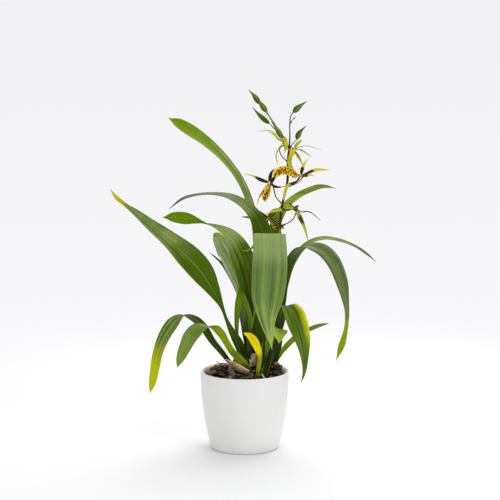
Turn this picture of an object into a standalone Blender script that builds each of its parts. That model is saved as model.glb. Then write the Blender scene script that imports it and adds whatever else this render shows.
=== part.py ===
# Cambria orchid growing in its nursery pot, set in a white cover pot.
# +Z is up. The origin is the centre of the cover pot's underside.
# The side that faces -Y is the front, and +X is to the right of it.
# Sizes here are written in millimetres, and each finished mesh is scaled to metres.

import math
import random

import bmesh
import bpy
from mathutils import Quaternion, Vector

# One millimetre, in metres.
MM = 0.001

# Clearance between pieces that touch, and the thickness of what is thin.
GAP = 0.3
LEAF_THICKNESS = 0.8
BLADE_STEPS = 2
NARROWEST_BLADE = 1
TUBE_STEPS = 2
THINNEST_TUBE_RADIUS = 0.3
PETAL_THICKNESS = 0.7

# Cover pot: rim radius, height and how much narrower the foot is.
POT_RIM_RADIUS = 70
POT_HEIGHT = 123
POT_TAPER = 16
POT_WALL = 3
POT_FOOT_ROUNDING = 2
POT_SIDES = 32
POT_RINGS = 6

# Nursery pot: it stands inside the cover pot, with a thin wall of its own.
NURSERY_CLEARANCE = 0.8
NURSERY_WALL = 1.1
NURSERY_RIM_DROP = 1.6

# Bark mix: low at the wall, mounded towards the shoots, with loose chips on top.
BARK_LEVEL_AT_WALL = 110
BARK_MOUND_HEIGHT = 9
BARK_SIDES = 24
CHIP_COUNT = 26
CHIP_SEED = 7
CHIP_LENGTH = (10, 17)
CHIP_WIDTH = (7, 11)
CHIP_DEPTH = (5, 8)
CHIP_RISE = (-0.5, 2.5)
CHIP_TILT = 0.45
CHIP_UNEVENNESS = (0.78, 1.12)
CHIP_WALL_CLEARANCE = 0.66

# Leaves lower than this near their base keep chips away.
LOW_LEAF = 146

# A leaf's halves fold up further near its base, by this many degrees more.
BASE_FOLD = 36
FOLD_REACH = 0.28
TEPAL_FOLD = 20

# Pseudobulbs: centre x, y, lowest and highest z, half widths across and deep.
BULBS = {
    "pseudobulb_left": (-7, -5, 104, 154, 14, 11),
    "pseudobulb_centre": (14, 12, 102, 162, 14, 13),
    "pseudobulb_right": (41, 7, 104, 140, 8, 10),
    "young_shoot": (25, -24, 106, 136, 6, 6),
}
BULB_TAPER = 0.28
BULB_SIDES = 14
BULB_RINGS = 9

# Leaves: name, the bulb that carries it, its heading in degrees (0 is +X, 90 is +Y),
# how far its two halves fold up in degrees, and its stations from base to tip as
# x, y, z, width and roll in degrees.
LEAVES = (
    ("leaf_tall_left", "pseudobulb_centre", 180, 10, (
        (10, 20, 148, 8, -85), (1, 25, 178, 10, -85), (-3, 28, 207, 11, -80), (3, 30, 238, 14, -75),
        (11, 34, 279, 17, -70), (15, 39, 318, 18, -65), (14, 45, 354, 18, -62), (2, 53, 392, 17, -60),
        (-26, 62, 438, 19, -58), (-61, 71, 479, 22, -58), (-94, 79, 504, 20, -60),
        (-121, 85, 518, 1.5, -60))),
    ("leaf_arching_left", "pseudobulb_centre", 180, 10, (
        (9, 11, 152, 8, -85), (5, 12, 176, 10, -85), (5, 12, 205, 12, -85), (11, 13, 234, 21, -80),
        (23, 15, 273, 29, -78), (30, 17, 313, 31, -76), (28, 18, 340, 31, -70), (18, 15, 363, 27, -52),
        (3, 9, 381, 25, -36), (-16, 1, 394, 25, -22), (-41, -8, 401, 24, -8), (-69, -16, 402, 19, -6),
        (-95, -23, 396, 13, -12), (-115, -28, 382, 1.5, -20))),
    ("leaf_front_fold", "pseudobulb_centre", -90, 1, (
        (20, 3, 144, 9, 0), (24, -9, 172, 14, 0), (27, -14, 205, 26, 0), (32, -18, 243, 38, 0),
        (36, -24, 288, 46, 0), (38, -31, 325, 50, 0), (38.5, -36, 340, 50, 0), (38.5, -41, 345, 50, 0),
        (38.5, -46, 340, 50, 0), (39, -50, 321, 52, 0), (38, -56, 283, 54, 0), (35, -61, 245, 47, 0),
        (35, -64, 215, 26, 0), (39, -66, 189, 11, 0), (42, -67, 169, 1.5, 0))),
    ("leaf_twisted_left", "pseudobulb_centre", 190, 10, (
        (11, 4, 150, 8, -80), (9, -1, 172, 10, -80), (10, -5, 195, 13, -78), (9, -9, 220, 19, -76),
        (7, -13, 250, 29, -76), (1, -18, 282, 36, -76), (-10, -24, 314, 37, -72), (-24, -30, 336, 30, -55),
        (-38, -36, 349, 23, -28), (-53, -41, 357, 19, -4), (-69, -45, 362, 19, 24), (-91, -49, 368, 20, 66),
        (-109, -52, 371, 14, 78), (-123, -54, 371, 1.5, 80))),
    ("leaf_blunt_left", "pseudobulb_centre", 175, 10, (
        (5, 8, 138, 7, -80), (-6, 10, 172, 9, -80), (-11, 10, 204, 9, -80), (-8, 8, 226, 13, -80),
        (-7, 6, 251, 19, -80), (-17, 3, 280, 23, -80), (-29, 2, 307, 23, -78), (-38, 4, 327, 19, -70),
        (-43, 9, 336, 15, -60), (-44, 16, 330, 11, -60), (-43, 22, 317, 8, -70), (-41, 26, 300, 1.5, -80))),
    ("leaf_thin_behind", "pseudobulb_centre", 170, 10, (
        (8, 16, 140, 7, -80), (-4, 19, 184, 9, -80), (-6, 20, 220, 11, -80), (-12, 20, 249, 12, -75),
        (-24, 19, 274, 11, -65), (-37, 18, 294, 7, -60), (-53, 17, 307, 1.5, -60))),
    ("leaf_inner_folded", "pseudobulb_left", 150, 10, (
        (-5, -2, 144, 7, -80), (-6, -1, 165, 8, -80), (-9, -2, 190, 8, -78), (-11, -3, 208, 9, -74),
        (-8, -4, 232, 12, -70), (0, -6, 254, 13, -70), (6, -7, 272, 10, -70), (9, -6, 288, 1.5, -70))),
    ("leaf_long_left", "pseudobulb_left", 190, 10, (
        (-2, -3, 142, 12, -70), (-12, -9, 168, 16, -68), (-20, -12, 189, 12, -68), (-28, -13, 207, 6, -74),
        (-35, -15, 226, 8, -76), (-47, -17, 251, 19, -76), (-65, -22, 282, 35, -76), (-87, -28, 307, 36, -72),
        (-116, -35, 334, 29, -70), (-145, -42, 358, 21, -68), (-167, -47, 378, 13, -70),
        (-182, -49, 390, 7, -70), (-194, -51, 400, 8, -65), (-205, -52, 415, 1.5, -60))),
    ("leaf_low_long_left", "pseudobulb_left", 200, 10, (
        (-14, -4, 127, 9, 55), (-26, -4, 138, 10, 50), (-37, -7, 153, 11, 50), (-51, -13, 172, 12, 52),
        (-65, -21, 196, 15, 48), (-80, -31, 210, 18, 34), (-96, -41, 216, 21, 4), (-109, -49, 208, 21, -40),
        (-122, -56, 191, 19, -64), (-133, -62, 166, 15, -74), (-140, -67, 136, 12, -76),
        (-144, -69, 114, 7, -76), (-145, -70, 102, 1.5, -78))),
    ("leaf_low_short_left", "pseudobulb_left", 205, 10, (
        (-8, -11, 139, 11, 60), (-19, -20, 155, 12, 58), (-28, -25, 171, 11, 58), (-37, -30, 187, 14, 50),
        (-47, -35, 197, 18, 26), (-58, -41, 200, 21, 0), (-70, -46, 197, 23, -28), (-82, -52, 187, 22, -58),
        (-91, -58, 172, 18, -74), (-98, -62, 154, 12, -78), (-103, -64, 142, 1.5, -80))),
    ("leaf_young_yellow", "young_shoot", 215, 10, (
        (22, -28, 130, 6, -90), (22, -30, 150, 10, -95), (20, -32, 163, 13, -100), (15, -36, 176, 14, -105),
        (8, -42, 186, 11, -105), (-2, -48, 192, 1.5, -105))),
    ("leaf_young_folded", "young_shoot", -80, 10, (
        (28, -21, 130, 5, 0), (30, -20, 152, 11, -10), (34, -18, 169, 14, -18), (42, -16, 184, 18, -24),
        (51, -18, 192, 24, -24), (55, -24, 192, 25, -22), (55, -29, 186, 19, -12), (54, -31, 179, 10, 0),
        (53, -32, 172, 1.5, 0))),
    ("leaf_yellow_edged", "pseudobulb_right", -60, 10, (
        (43, 1, 127, 10, 20), (48, -3, 153, 12, 15), (54, -5, 183, 14, 10), (58, -8, 206, 18, 5),
        (62, -13, 224, 24, 0), (67, -21, 230, 29, 0), (74, -31, 224, 33, 6), (83, -42, 204, 31, 12),
        (90, -50, 181, 20, 16), (92, -56, 159, 10, 20), (92, -58, 134, 5, 20), (87, -58, 114, 1.5, 20))),
    ("leaf_long_right", "pseudobulb_right", -30, 10, (
        (45, 8, 130, 9, -70), (53, 9, 160, 12, -70), (57, 8, 199, 14, -68), (61, 4, 235, 17, -66),
        (67, -3, 269, 19, -60), (76, -12, 299, 20, -44), (88, -24, 319, 22, -14), (98, -33, 324, 22, 2),
        (107, -40, 323, 22, 22), (119, -48, 318, 21, 42), (134, -59, 303, 21, 58), (146, -68, 279, 20, 60),
        (152, -74, 253, 16, 24), (155, -78, 228, 13, 4), (153, -80, 201, 11, 10), (147, -80, 177, 10, 50),
        (139, -79, 153, 1.5, 70))),
    ("leaf_thin_right", "pseudobulb_right", 20, 10, (
        (38, 12, 136, 7, 80), (47, 20, 171, 9, 70), (55, 28, 215, 12, 60), (63, 36, 254, 15, 45),
        (74, 44, 287, 18, 28), (89, 52, 308, 19, 12), (108, 61, 321, 19, 3), (129, 69, 325, 17, 1),
        (154, 76, 320, 14, 2), (179, 82, 310, 11, 5), (197, 86, 298, 8, 8), (214, 89, 285, 1.5, 12))),
    ("leaf_upper_right", "pseudobulb_centre", 30, 10, (
        (21, 19, 146, 8, 80), (30, 31, 206, 12, 76), (36, 45, 272, 15, 66), (44, 58, 327, 17, 55),
        (54, 68, 360, 17, 46), (67, 77, 379, 15, 30), (86, 86, 393, 15, 24), (107, 94, 401, 15, 22),
        (124, 101, 405, 12, 25), (138, 105, 404, 7, 25), (148, 108, 402, 1.5, 25))),
    ("leaf_low_right", "pseudobulb_right", 25, 10, (
        (46, 13, 128, 6, 70), (58, 15, 149, 8, 65), (69, 19, 161, 9, 62), (84, 27, 173, 9, 56),
        (104, 37, 182, 8, 20), (121, 45, 187, 6, 12), (136, 52, 189, 1.5, 10))),
)

# Dry papery sheaths left round the foot of two bulbs, written as leaves are.
DRY_SHEATHS = (
    ("dry_sheath_left", "pseudobulb_left", 175, 0, (
        (1, -13, 125, 9, -75), (-9, -18, 128, 11, -70), (-20, -17, 134, 9, -65), (-32, -13, 141, 1.5, -60))),
    ("dry_sheath_centre", "pseudobulb_centre", -80, 0, (
        (15, 2, 126, 8, 0), (15, -4, 134, 11, 0), (15, -6, 142, 10, 0), (15, -6, 150, 1.5, 0))),
)

# Flower spike: points x, y, z and radius from the foot of the centre bulb upwards.
SPIKE_STEM = (
    (22, 14, 128, 2.2), (27, 15, 185, 2.2), (35, 18, 233, 2.1), (43, 22, 280, 2.0), (51, 25, 312, 2.0),
    (55, 27, 339, 2.0), (58, 29, 374, 1.9), (62, 30, 396, 1.9), (66, 30, 411, 1.8), (68, 30, 430, 1.7),
    (68, 30, 456, 1.6), (70, 30, 474, 1.5), (71, 30, 492, 1.2), (71, 29, 515, 1.0), (72, 29, 522, 0.9),
    (75.5, 28, 528, 0.8))
SPIKE_SIDES = 6

# Side shoots of the spike that end in a bud: points x, y, z and radius.
SPIKE_BRANCHES = (
    ((70, 30, 470, 1.2), (64, 28, 486, 1.1), (55, 27, 499, 1.0), (41, 25, 519, 0.8), (23, 22, 544, 0.6)),
    ((41, 25, 519, 0.7), (38, 21, 524, 0.6), (35.3, 18, 528.6, 0.6)),
    ((58, 27, 495, 0.8), (49, 31, 501, 0.7), (39.4, 34, 510.6, 0.6)),
    ((71, 30, 473, 0.9), (76, 24, 481, 0.7), (81.2, 19, 486.3, 0.6)),
    ((71, 29, 512, 0.6), (73.5, 31, 515.5, 0.5), (75.7, 32.6, 517.6, 0.5)),
    ((67, 29, 479, 0.9), (62.5, 23, 484, 0.7), (59.4, 20.2, 487.6, 0.6)),
)

# Buds: foot, tip, how far the middle bends aside, and greatest radius.
BUDS = {
    "bud_1": ((22.6, 21.9, 544.5), (6, 18, 564), (0.5, 0, 0.5), 3.0),
    "bud_2": ((35, 17.7, 529), (23, 14, 548), (-0.5, 0, -0.5), 3.1),
    "bud_3": ((39, 34.2, 511), (12, 40, 537), (-1, 0, -1), 3.4),
    "bud_4": ((59, 19.8, 488), (42, 14, 513), (0, 0, 0), 3.6),
    "bud_5": ((76, 27.9, 528.4), (97, 25, 546), (-0.8, 0, 0.6), 4.6),
    "bud_6": ((76, 32.9, 517.9), (81, 36, 522), (0, 0, 0), 1.3),
    "bud_7": ((81.6, 18.6, 486.8), (96, 13, 508), (-2.5, 0, 0.5), 4.4),
}

BUD_SIDES = 8

# A bud's outline: share of its length, then share of its greatest radius.
BUD_OUTLINE = ((0, 0.3), (0.12, 0.75), (0.3, 1), (0.5, 0.8), (0.7, 0.42), (0.88, 0.2), (1, 0.1))

# Blooms: centre, the way the face looks, the points where the stalk leaves the spike,
# then each narrow tepal and the lip as bends measured from the centre.
BLOOMS = {
    "bloom_1": {
        "centre": (39, 4, 420), "face": (-0.35, -0.9, -0.1),
        "stalk": ((58, 29, 386), (50, 20, 395)),
        "tepals": (((-14, -1, 5), (-26, -4, 11), (-41, -8, 15)), ((2, 3, 9), (5, 5, 16), (11, 8, 22)),
                   ((5, -6, 5), (10, -14, 7), (15, -24, 6)), ((8, 0, -5), (18, -6, -6), (33, -12, -2)),
                   ((-7, 4, -11), (-16, 6, -24), (-20, 5, -36))),
        "lip": ((-2, -8, -8, 13), (-4, -11, -16, 17), (-7, -11, -24, 12), (-8, -10, -29, 5)), "lip_roll": 0},
    "bloom_2": {
        "centre": (88, 12, 430), "face": (-0.45, -0.85, 0.2),
        "stalk": ((67, 29, 413), (76, 23, 415), (86, 18, 422)),
        "tepals": (((2, 3, 9), (5, 5, 18), (12, 8, 27)), ((10, -1, 5), (23, -5, 10), (45, -8, 10)),
                   ((9, 8, 1), (16, 15, 1), (23, 22, -2)), ((-8, 6, 2), (-19, 9, 6), (-31, 8, 8)),
                   ((-8, -6, -9), (-19, -6, -14), (-28, -5, -38))),
        "lip": ((-11, -8, 3, 13), (-21, -12, 8, 14), (-32, -14, 9, 14), (-39, -14, 4, 11), (-42, -13, -1, 5)),
        "lip_roll": -75},
    "bloom_3": {
        "centre": (81, 8, 379), "face": (-0.1, -0.95, 0.3),
        "stalk": ((58, 28, 351), (67, 26, 354), (77, 18, 363)),
        "tepals": (((7, -3, -4), (20, -5, -6), (37, -8, -20)), ((4, -5, -10), (11, -8, -25), (19, -7, -52)),
                   ((-2, 3, 6), (-1, 7, 11), (3, 11, 18)), ((-6, 4, 6), (-12, 5, 12), (-20, 3, 18)),
                   ((-13, 2, -2), (-30, 0, -3), (-49, -4, -8))),
        "lip": ((-8, -10, 2, 11), (-14, -15, 4, 13), (-20, -19, 2, 5)), "lip_roll": -60},
    "bloom_4": {
        "centre": (38, 44, 361), "face": (-0.2, -0.6, -0.75),
        "stalk": ((57, 30, 366), (54, 38, 371), (46, 46, 371)),
        "tepals": (((3, -6, 5), (8, -14, 9), (14, -22, 13)), ((-7, -2, 4), (-13, -5, 9), (-20, -7, 14)),
                   ((-12, -5, -1), (-24, -9, 1), (-41, -12, 3)),
                   ((-4, -8, -12), (-13, -17, -28), (-30, -22, -48)),
                   ((7, 2, -8), (11, 5, -17), (15, 8, -28))),
        "lip": ((4, -11, -8, 8), (7, -17, -12, 9), (9, -21, -17, 5)), "lip_roll": -50},
    "bloom_5": {
        "centre": (77, 16, 471), "face": (0.2, -0.9, -0.3),
        "stalk": ((69, 29, 454), (73, 25, 461)),
        "tepals": (((8, 3, 4), (20, 2, 6), (42, -3, 0)), ((9, -4, 1), (17, -8, -3), (27, -12, -11)),
                   ((6, 1, -8), (10, -5, -15), (14, -11, -25)), ((4, 6, 8), (9, 9, 12), (14, 12, 15)),
                   ((-2, 2, -9), (-1, -3, -20), (6, -10, -34))),
        "lip": ((-3, -6, -9, 7), (-4, -8, -12, 8), (-5, -9, -15, 4)), "lip_roll": 0},
    "bloom_6": {
        "centre": (61.5, 8, 483), "face": (-0.3, -0.85, 0.3),
        "stalk": ((68, 29, 451), (58, 23, 461), (55, 16, 473)),
        "tepals": (((-8, 0, 4), (-20, -2, 17), (-42, -4, 17)), ((-7, -7, 4), (-17, -12, 12), (-32, -18, 23)),
                   ((-2, -7, 4), (-5, -16, 6), (-9, -26, 5)), ((2, -5, -6), (2, -10, -11), (0, -16, -18)),
                   ((-7, -5, -9), (-12, -8, -22), (-9, -8, -36))),
        "lip": ((6, -7, 0, 9), (9, -11, -3, 10), (10, -13, -9, 4)), "lip_roll": 20},
}
COLUMN_LENGTH = 8
COLUMN_BACK = 0.4
COLUMN_RADIUS = 2.0
COLUMN_END_RADIUS = 1.3
COLUMN_SIDES = 8
LIP_SEAT = 2
LIP_ROOT_WIDTH = 2.5
STALK_RADIUS = 0.8
STALK_SIDES = 5
TEPAL_WIDTHS = (3.0, 5.6, 4.4, 1.0)
TEPAL_ROLL = 20

# Aerial root at the front, from the young shoot down onto the bark.
ROOT_POINTS = ((27, -27, 122, 1.3), (29, -34, 120.5, 1.3), (31, -42, 118, 1.2), (33, -49, 116, 0.9))
ROOT_SIDES = 8

# Plain colours of the model, each with its roughness.
FINISHES = {
    "pot_white": ((0.86, 0.855, 0.84), 0.55),
    "nursery_brown": ((0.34, 0.24, 0.17), 0.5),
    "bark": ((0.045, 0.028, 0.018), 0.9),
    "bulb": ((0.16, 0.25, 0.04), 0.5),
    "dry_sheath": ((0.48, 0.33, 0.2), 0.8),
    "leaf": ((0.1, 0.2, 0.04), 0.45),
    "leaf_yellowing": ((0.32, 0.36, 0.03), 0.5),
    "spike": ((0.05, 0.035, 0.03), 0.5),
    "tepal": ((0.3, 0.3, 0.05), 0.5),
    "lip": ((0.7, 0.5, 0.04), 0.5),
    "bud": ((0.1, 0.16, 0.03), 0.5),
    "root": ((0.62, 0.6, 0.5), 0.7),
}
YELLOWING_LEAVES = ("leaf_young_yellow",)


def clear_scene():
    """Remove every object that a new scene starts with."""
    for item in list(bpy.data.objects):
        bpy.data.objects.remove(item, do_unlink=True)


def finish(name):
    """Return the named Principled material, made on its first use."""
    found = bpy.data.materials.get(name)
    if found:
        return found
    colour, roughness = FINISHES[name]
    made = bpy.data.materials.new(name)
    made.use_nodes = True
    shader = made.node_tree.nodes["Principled BSDF"]
    shader.inputs["Base Color"].default_value = (*colour, 1)
    shader.inputs["Roughness"].default_value = roughness
    shader.inputs["Metallic"].default_value = 0
    return made


def add_object(name, work, finish_name):
    """Turn a bmesh in millimetres into an object in metres."""
    bmesh.ops.scale(work, vec=(MM, MM, MM), verts=work.verts)
    mesh = bpy.data.meshes.new(name)
    work.to_mesh(mesh)
    work.free()
    mesh.shade_smooth()
    made = bpy.data.objects.new(name, mesh)
    made.data.materials.append(finish(finish_name))
    bpy.context.scene.collection.objects.link(made)
    return made


def mark_as_cutter(item):
    """Keep a cutter or guide out of the model."""
    item.hide_render = True
    item.display_type = "WIRE"


def cut(target, cutter):
    """Take a cutter's shape out of an object."""
    step = target.modifiers.new("cut " + cutter.name, "BOOLEAN")
    step.operation = "DIFFERENCE"
    step.solver = "EXACT"
    step.object = cutter


def fuse(name, pieces):
    """Join pieces in one body with one union on a collection."""
    first = pieces[0]
    others = bpy.data.collections.new(name + " pieces")
    for piece in pieces[1:]:
        bpy.context.scene.collection.objects.unlink(piece)
        others.objects.link(piece)
    bpy.context.scene.collection.children.link(others)
    step = first.modifiers.new("join", "BOOLEAN")
    step.operation = "UNION"
    step.operand_type = "COLLECTION"
    step.collection = others
    step.solver = "EXACT"
    bpy.context.view_layer.update()
    joined = bpy.data.meshes.new_from_object(first.evaluated_get(bpy.context.evaluated_depsgraph_get()))
    first.modifiers.clear()
    first.data = joined
    joined.name = name
    first.name = name
    for piece in pieces[1:]:
        bpy.data.objects.remove(piece, do_unlink=True)
    bpy.data.collections.remove(others)
    return first


def turned(name, profile, sides, finish_name):
    """Turn a profile of radius and z, whose two ends lie on the axis, into a closed body."""
    work = bmesh.new()
    rings = []
    for radius, z in profile[1:-1]:
        ring = []
        for step in range(sides):
            angle = math.tau * step / sides
            ring.append(work.verts.new((radius * math.cos(angle), radius * math.sin(angle), z)))
        rings.append(ring)
    first = work.verts.new((0, 0, profile[0][1]))
    last = work.verts.new((0, 0, profile[-1][1]))
    for step in range(sides):
        following = (step + 1) % sides
        work.faces.new((first, rings[0][step], rings[0][following]))
        for lower, upper in zip(rings, rings[1:]):
            work.faces.new((lower[step], upper[step], upper[following], lower[following]))
        work.faces.new((last, rings[-1][following], rings[-1][step]))
    bmesh.ops.recalc_face_normals(work, faces=work.faces)
    return add_object(name, work, finish_name)


def smooth_rows(rows, steps):
    """Join rows of numbers, the first three a place, by a smooth curve with extra rows between."""
    lengths = [math.dist(one[:3], two[:3]) for one, two in zip(rows, rows[1:])]
    chords = [[(b - a) / length for a, b in zip(one, two)]
              for one, two, length in zip(rows, rows[1:], lengths)]
    slopes = [chords[0]]
    for before, after, near, far in zip(chords, chords[1:], lengths, lengths[1:]):
        slopes.append([(a * far + b * near) / (near + far) for a, b in zip(before, after)])
    slopes.append(chords[-1])
    result = [list(rows[0])]
    for index, length in enumerate(lengths):
        for step in range(1, steps + 1):
            t = step / steps
            ease = t * t * (3 - 2 * t)
            leave = (t * t * t - 2 * t * t + t) * length
            arrive = (t * t * t - t * t) * length
            result.append([a + (b - a) * ease + m * leave + n * arrive for a, b, m, n in zip(
                rows[index], rows[index + 1], slopes[index], slopes[index + 1])])
    return result


def tangents(points):
    """Return the direction of travel at each point."""
    last = len(points) - 1
    return [(points[min(i + 1, last)] - points[max(i - 1, 0)]).normalized() for i in range(last + 1)]


def blade(name, heading, folds, stations, thickness, finish_name):
    """Make a thin blade with a midrib from stations of x, y, z, width and roll.

    The two folds are how far its halves rise, in degrees, along its length and extra at its base.
    """
    rows = smooth_rows(stations, BLADE_STEPS)
    centres = [Vector(row[:3]) for row in rows]
    angle = math.radians(heading)
    level = Vector((-math.sin(angle), math.cos(angle), 0))
    work = bmesh.new()
    lines = []
    for index, (centre, along) in enumerate(zip(centres, tangents(centres))):
        side = (level - along * level.dot(along)).normalized()
        side.rotate(Quaternion(along, math.radians(rows[index][4])))
        upper = along.cross(side)
        near_base = max(0, 1 - index / (len(rows) - 1) / FOLD_REACH)
        fold = math.radians(folds[0] + folds[1] * near_base ** 1.5)
        half = max(rows[index][3], NARROWEST_BLADE) / 2
        edge = side * math.cos(fold) * half
        lift = upper * math.sin(fold) * half
        lines.append([work.verts.new(centre - edge + lift), work.verts.new(centre),
                      work.verts.new(centre + edge + lift)])
    for near, far in zip(lines, lines[1:]):
        work.faces.new((near[0], near[1], far[1]))
        work.faces.new((near[0], far[1], far[0]))
        work.faces.new((near[1], near[2], far[1]))
        work.faces.new((near[2], far[2], far[1]))
    made = add_object(name, work, finish_name)
    shell = made.modifiers.new("thickness", "SOLIDIFY")
    shell.thickness = thickness * MM
    shell.offset = 0
    return made


def tube(name, points, steps, sides, finish_name):
    """Make a closed round rod from points of x, y, z and radius."""
    rows = smooth_rows(points, steps)
    centres = [Vector(row[:3]) for row in rows]
    directions = tangents(centres)
    side = directions[0].orthogonal().normalized()
    work = bmesh.new()
    rings = []
    for centre, along, row in zip(centres, directions, rows):
        side = (side - along * side.dot(along)).normalized()
        other = along.cross(side)
        radius = max(row[3], THINNEST_TUBE_RADIUS)
        rings.append([work.verts.new(centre + (side * math.cos(math.tau * k / sides)
                                               + other * math.sin(math.tau * k / sides)) * radius)
                      for k in range(sides)])
    for near, far in zip(rings, rings[1:]):
        for k in range(sides):
            after = (k + 1) % sides
            work.faces.new((near[k], near[after], far[after], far[k]))
    work.faces.new(list(reversed(rings[0])))
    work.faces.new(rings[-1])
    return add_object(name, work, finish_name)


def pot_radius(z):
    """Return the cover pot's outer radius at a height."""
    return POT_RIM_RADIUS - POT_TAPER * (1 - z / POT_HEIGHT) ** 2


def build_cover_pot():
    """White pot: a slightly rounded taper, an even wall and a round lip."""
    rounding = POT_WALL / 2
    shoulder = POT_HEIGHT - rounding
    outer = [(0, 0), (pot_radius(0) - POT_FOOT_ROUNDING, 0)]
    for step in range(POT_RINGS):
        z = POT_FOOT_ROUNDING + (shoulder - POT_FOOT_ROUNDING) * step / (POT_RINGS - 1)
        outer.append((pot_radius(z), z))
    lip = []
    for degrees in (45, 90, 135):
        angle = math.radians(degrees)
        lip.append((POT_RIM_RADIUS + rounding * (math.cos(angle) - 1), shoulder + rounding * math.sin(angle)))
    inner = []
    for step in range(POT_RINGS):
        z = shoulder - (shoulder - POT_WALL) * step / (POT_RINGS - 1)
        inner.append((pot_radius(z) - POT_WALL, z))
    turned("cover_pot", outer + lip + inner + [(0, POT_WALL)], POT_SIDES, "pot_white")


def nursery_radius(z):
    """Return the nursery pot's outer radius at a height."""
    return pot_radius(z) - POT_WALL - NURSERY_CLEARANCE


def build_nursery_pot():
    """Thin brown pot that the plant grows in, standing on the cover pot's floor."""
    foot = POT_WALL + GAP
    rim = POT_HEIGHT - NURSERY_RIM_DROP
    heights = [foot + (rim - foot) * step / (POT_RINGS - 1) for step in range(POT_RINGS)]
    outer = [(nursery_radius(z), z) for z in heights]
    inner = [(nursery_radius(z) - NURSERY_WALL, z) for z in reversed(heights)]
    inner[-1] = (nursery_radius(foot) - NURSERY_WALL, foot + NURSERY_WALL)
    profile = [(0, foot)] + outer + inner + [(0, foot + NURSERY_WALL)]
    turned("nursery_pot", profile, POT_SIDES, "nursery_brown")


def bulb_body(name, size, margin):
    """Make an egg-shaped pseudobulb that narrows towards its top."""
    x, y, low, high, across, deep = size
    work = bmesh.new()
    bmesh.ops.create_uvsphere(work, u_segments=BULB_SIDES, v_segments=BULB_RINGS, radius=1)
    for vert in work.verts:
        taper = 1 - BULB_TAPER * max(vert.co.z, 0) ** 2
        height = (high - low) / 2 + margin
        vert.co = Vector((x + vert.co.x * taper * (across + margin), y + vert.co.y * taper * (deep + margin),
                          (high + low) / 2 + vert.co.z * height))
    return add_object(name, work, "bulb")


def build_bulbs():
    """Pseudobulbs, and a slightly larger cutter for each that clears its neighbours."""
    cutters = {}
    for name, size in BULBS.items():
        bulb_body(name, size, 0)
        cutters[name] = bulb_body(name + "_clearance", size, GAP)
        mark_as_cutter(cutters[name])
    return cutters


def build_leaves(cutters):
    """Leaves and dry sheaths, each cut clear of the bulb that it grows from."""
    for name, bulb, heading, fold, stations in LEAVES:
        colour = "leaf_yellowing" if name in YELLOWING_LEAVES else "leaf"
        leaf = blade(name, heading, (fold, BASE_FOLD), stations, LEAF_THICKNESS, colour)
        cut(leaf, cutters[bulb])
    for name, bulb, heading, fold, stations in DRY_SHEATHS:
        sheath = blade(name, heading, (fold, 0), stations, LEAF_THICKNESS, "dry_sheath")
        cut(sheath, cutters[bulb])


def mound_height(x, y):
    """Return the height of the bark's surface, without its chips."""
    share = min(math.hypot(x, y) / nursery_radius(BARK_LEVEL_AT_WALL), 1)
    return BARK_LEVEL_AT_WALL + BARK_MOUND_HEIGHT * (1 - share * share)


def is_clear_of_shoots(x, y, reach):
    """Tell whether a chip of this reach stays clear of bulbs and of the lowest leaves."""
    for cx, cy, low, high, across, deep in BULBS.values():
        if math.hypot((x - cx) / (across + reach), (y - cy) / (deep + reach)) < 1:
            return False
    for name, bulb, heading, fold, stations in LEAVES + DRY_SHEATHS:
        for station in stations:
            if station[2] < LOW_LEAF and math.hypot(x - station[0], y - station[1]) < reach + station[3] / 2:
                return False
    for point in ROOT_POINTS:
        if math.hypot(x - point[0], y - point[1]) < reach + point[3]:
            return False
    return True


def chip(centre, size, turn, draw):
    """Make one uneven six-sided bark chip."""
    work = bmesh.new()
    bmesh.ops.create_cube(work, size=1)
    for vert in work.verts:
        uneven = [draw.uniform(*CHIP_UNEVENNESS) for axis in range(3)]
        vert.co = centre + turn @ Vector(a * b * c for a, b, c in zip(vert.co, size, uneven))
    bmesh.ops.triangulate(work, faces=work.faces)
    return add_object("chip", work, "bark")


def build_bark(cutters, root_cutter):
    """Bark mix: a mound with chips standing out of it, in one body."""
    floor = POT_WALL + 2 * GAP + NURSERY_WALL
    clear = NURSERY_WALL + 2 * GAP
    profile = [(0, floor)]
    for step in range(POT_RINGS):
        z = floor + (BARK_LEVEL_AT_WALL - floor) * step / (POT_RINGS - 1)
        profile.append((nursery_radius(z) - clear, z))
    wall_radius = profile[-1][0]
    for share in (0.75, 0.5, 0.25):
        radius = wall_radius * share
        profile.append((radius, mound_height(radius, 0)))
    profile.append((0, mound_height(0, 0)))
    pieces = [turned("bark_mix", profile, BARK_SIDES, "bark")]
    draw = random.Random(CHIP_SEED)
    while len(pieces) <= CHIP_COUNT:
        size = Vector((draw.uniform(*CHIP_LENGTH), draw.uniform(*CHIP_WIDTH), draw.uniform(*CHIP_DEPTH)))
        radius = (wall_radius - size.x * CHIP_WALL_CLEARANCE) * math.sqrt(draw.uniform(0, 1))
        angle = draw.uniform(0, math.tau)
        x, y = radius * math.cos(angle), radius * math.sin(angle)
        turn = Quaternion((0, 0, 1), draw.uniform(0, math.tau))
        turn = turn @ Quaternion((1, 0, 0), draw.uniform(-CHIP_TILT, CHIP_TILT))
        turn = turn @ Quaternion((0, 1, 0), draw.uniform(-CHIP_TILT, CHIP_TILT))
        if not is_clear_of_shoots(x, y, size.x / 2 + 1):
            continue
        centre = Vector((x, y, mound_height(x, y) + draw.uniform(*CHIP_RISE)))
        pieces.append(chip(centre, size, turn, draw))
    bark = fuse("bark_mix", pieces)
    for cutter in list(cutters.values()) + [root_cutter]:
        cut(bark, cutter)


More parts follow.
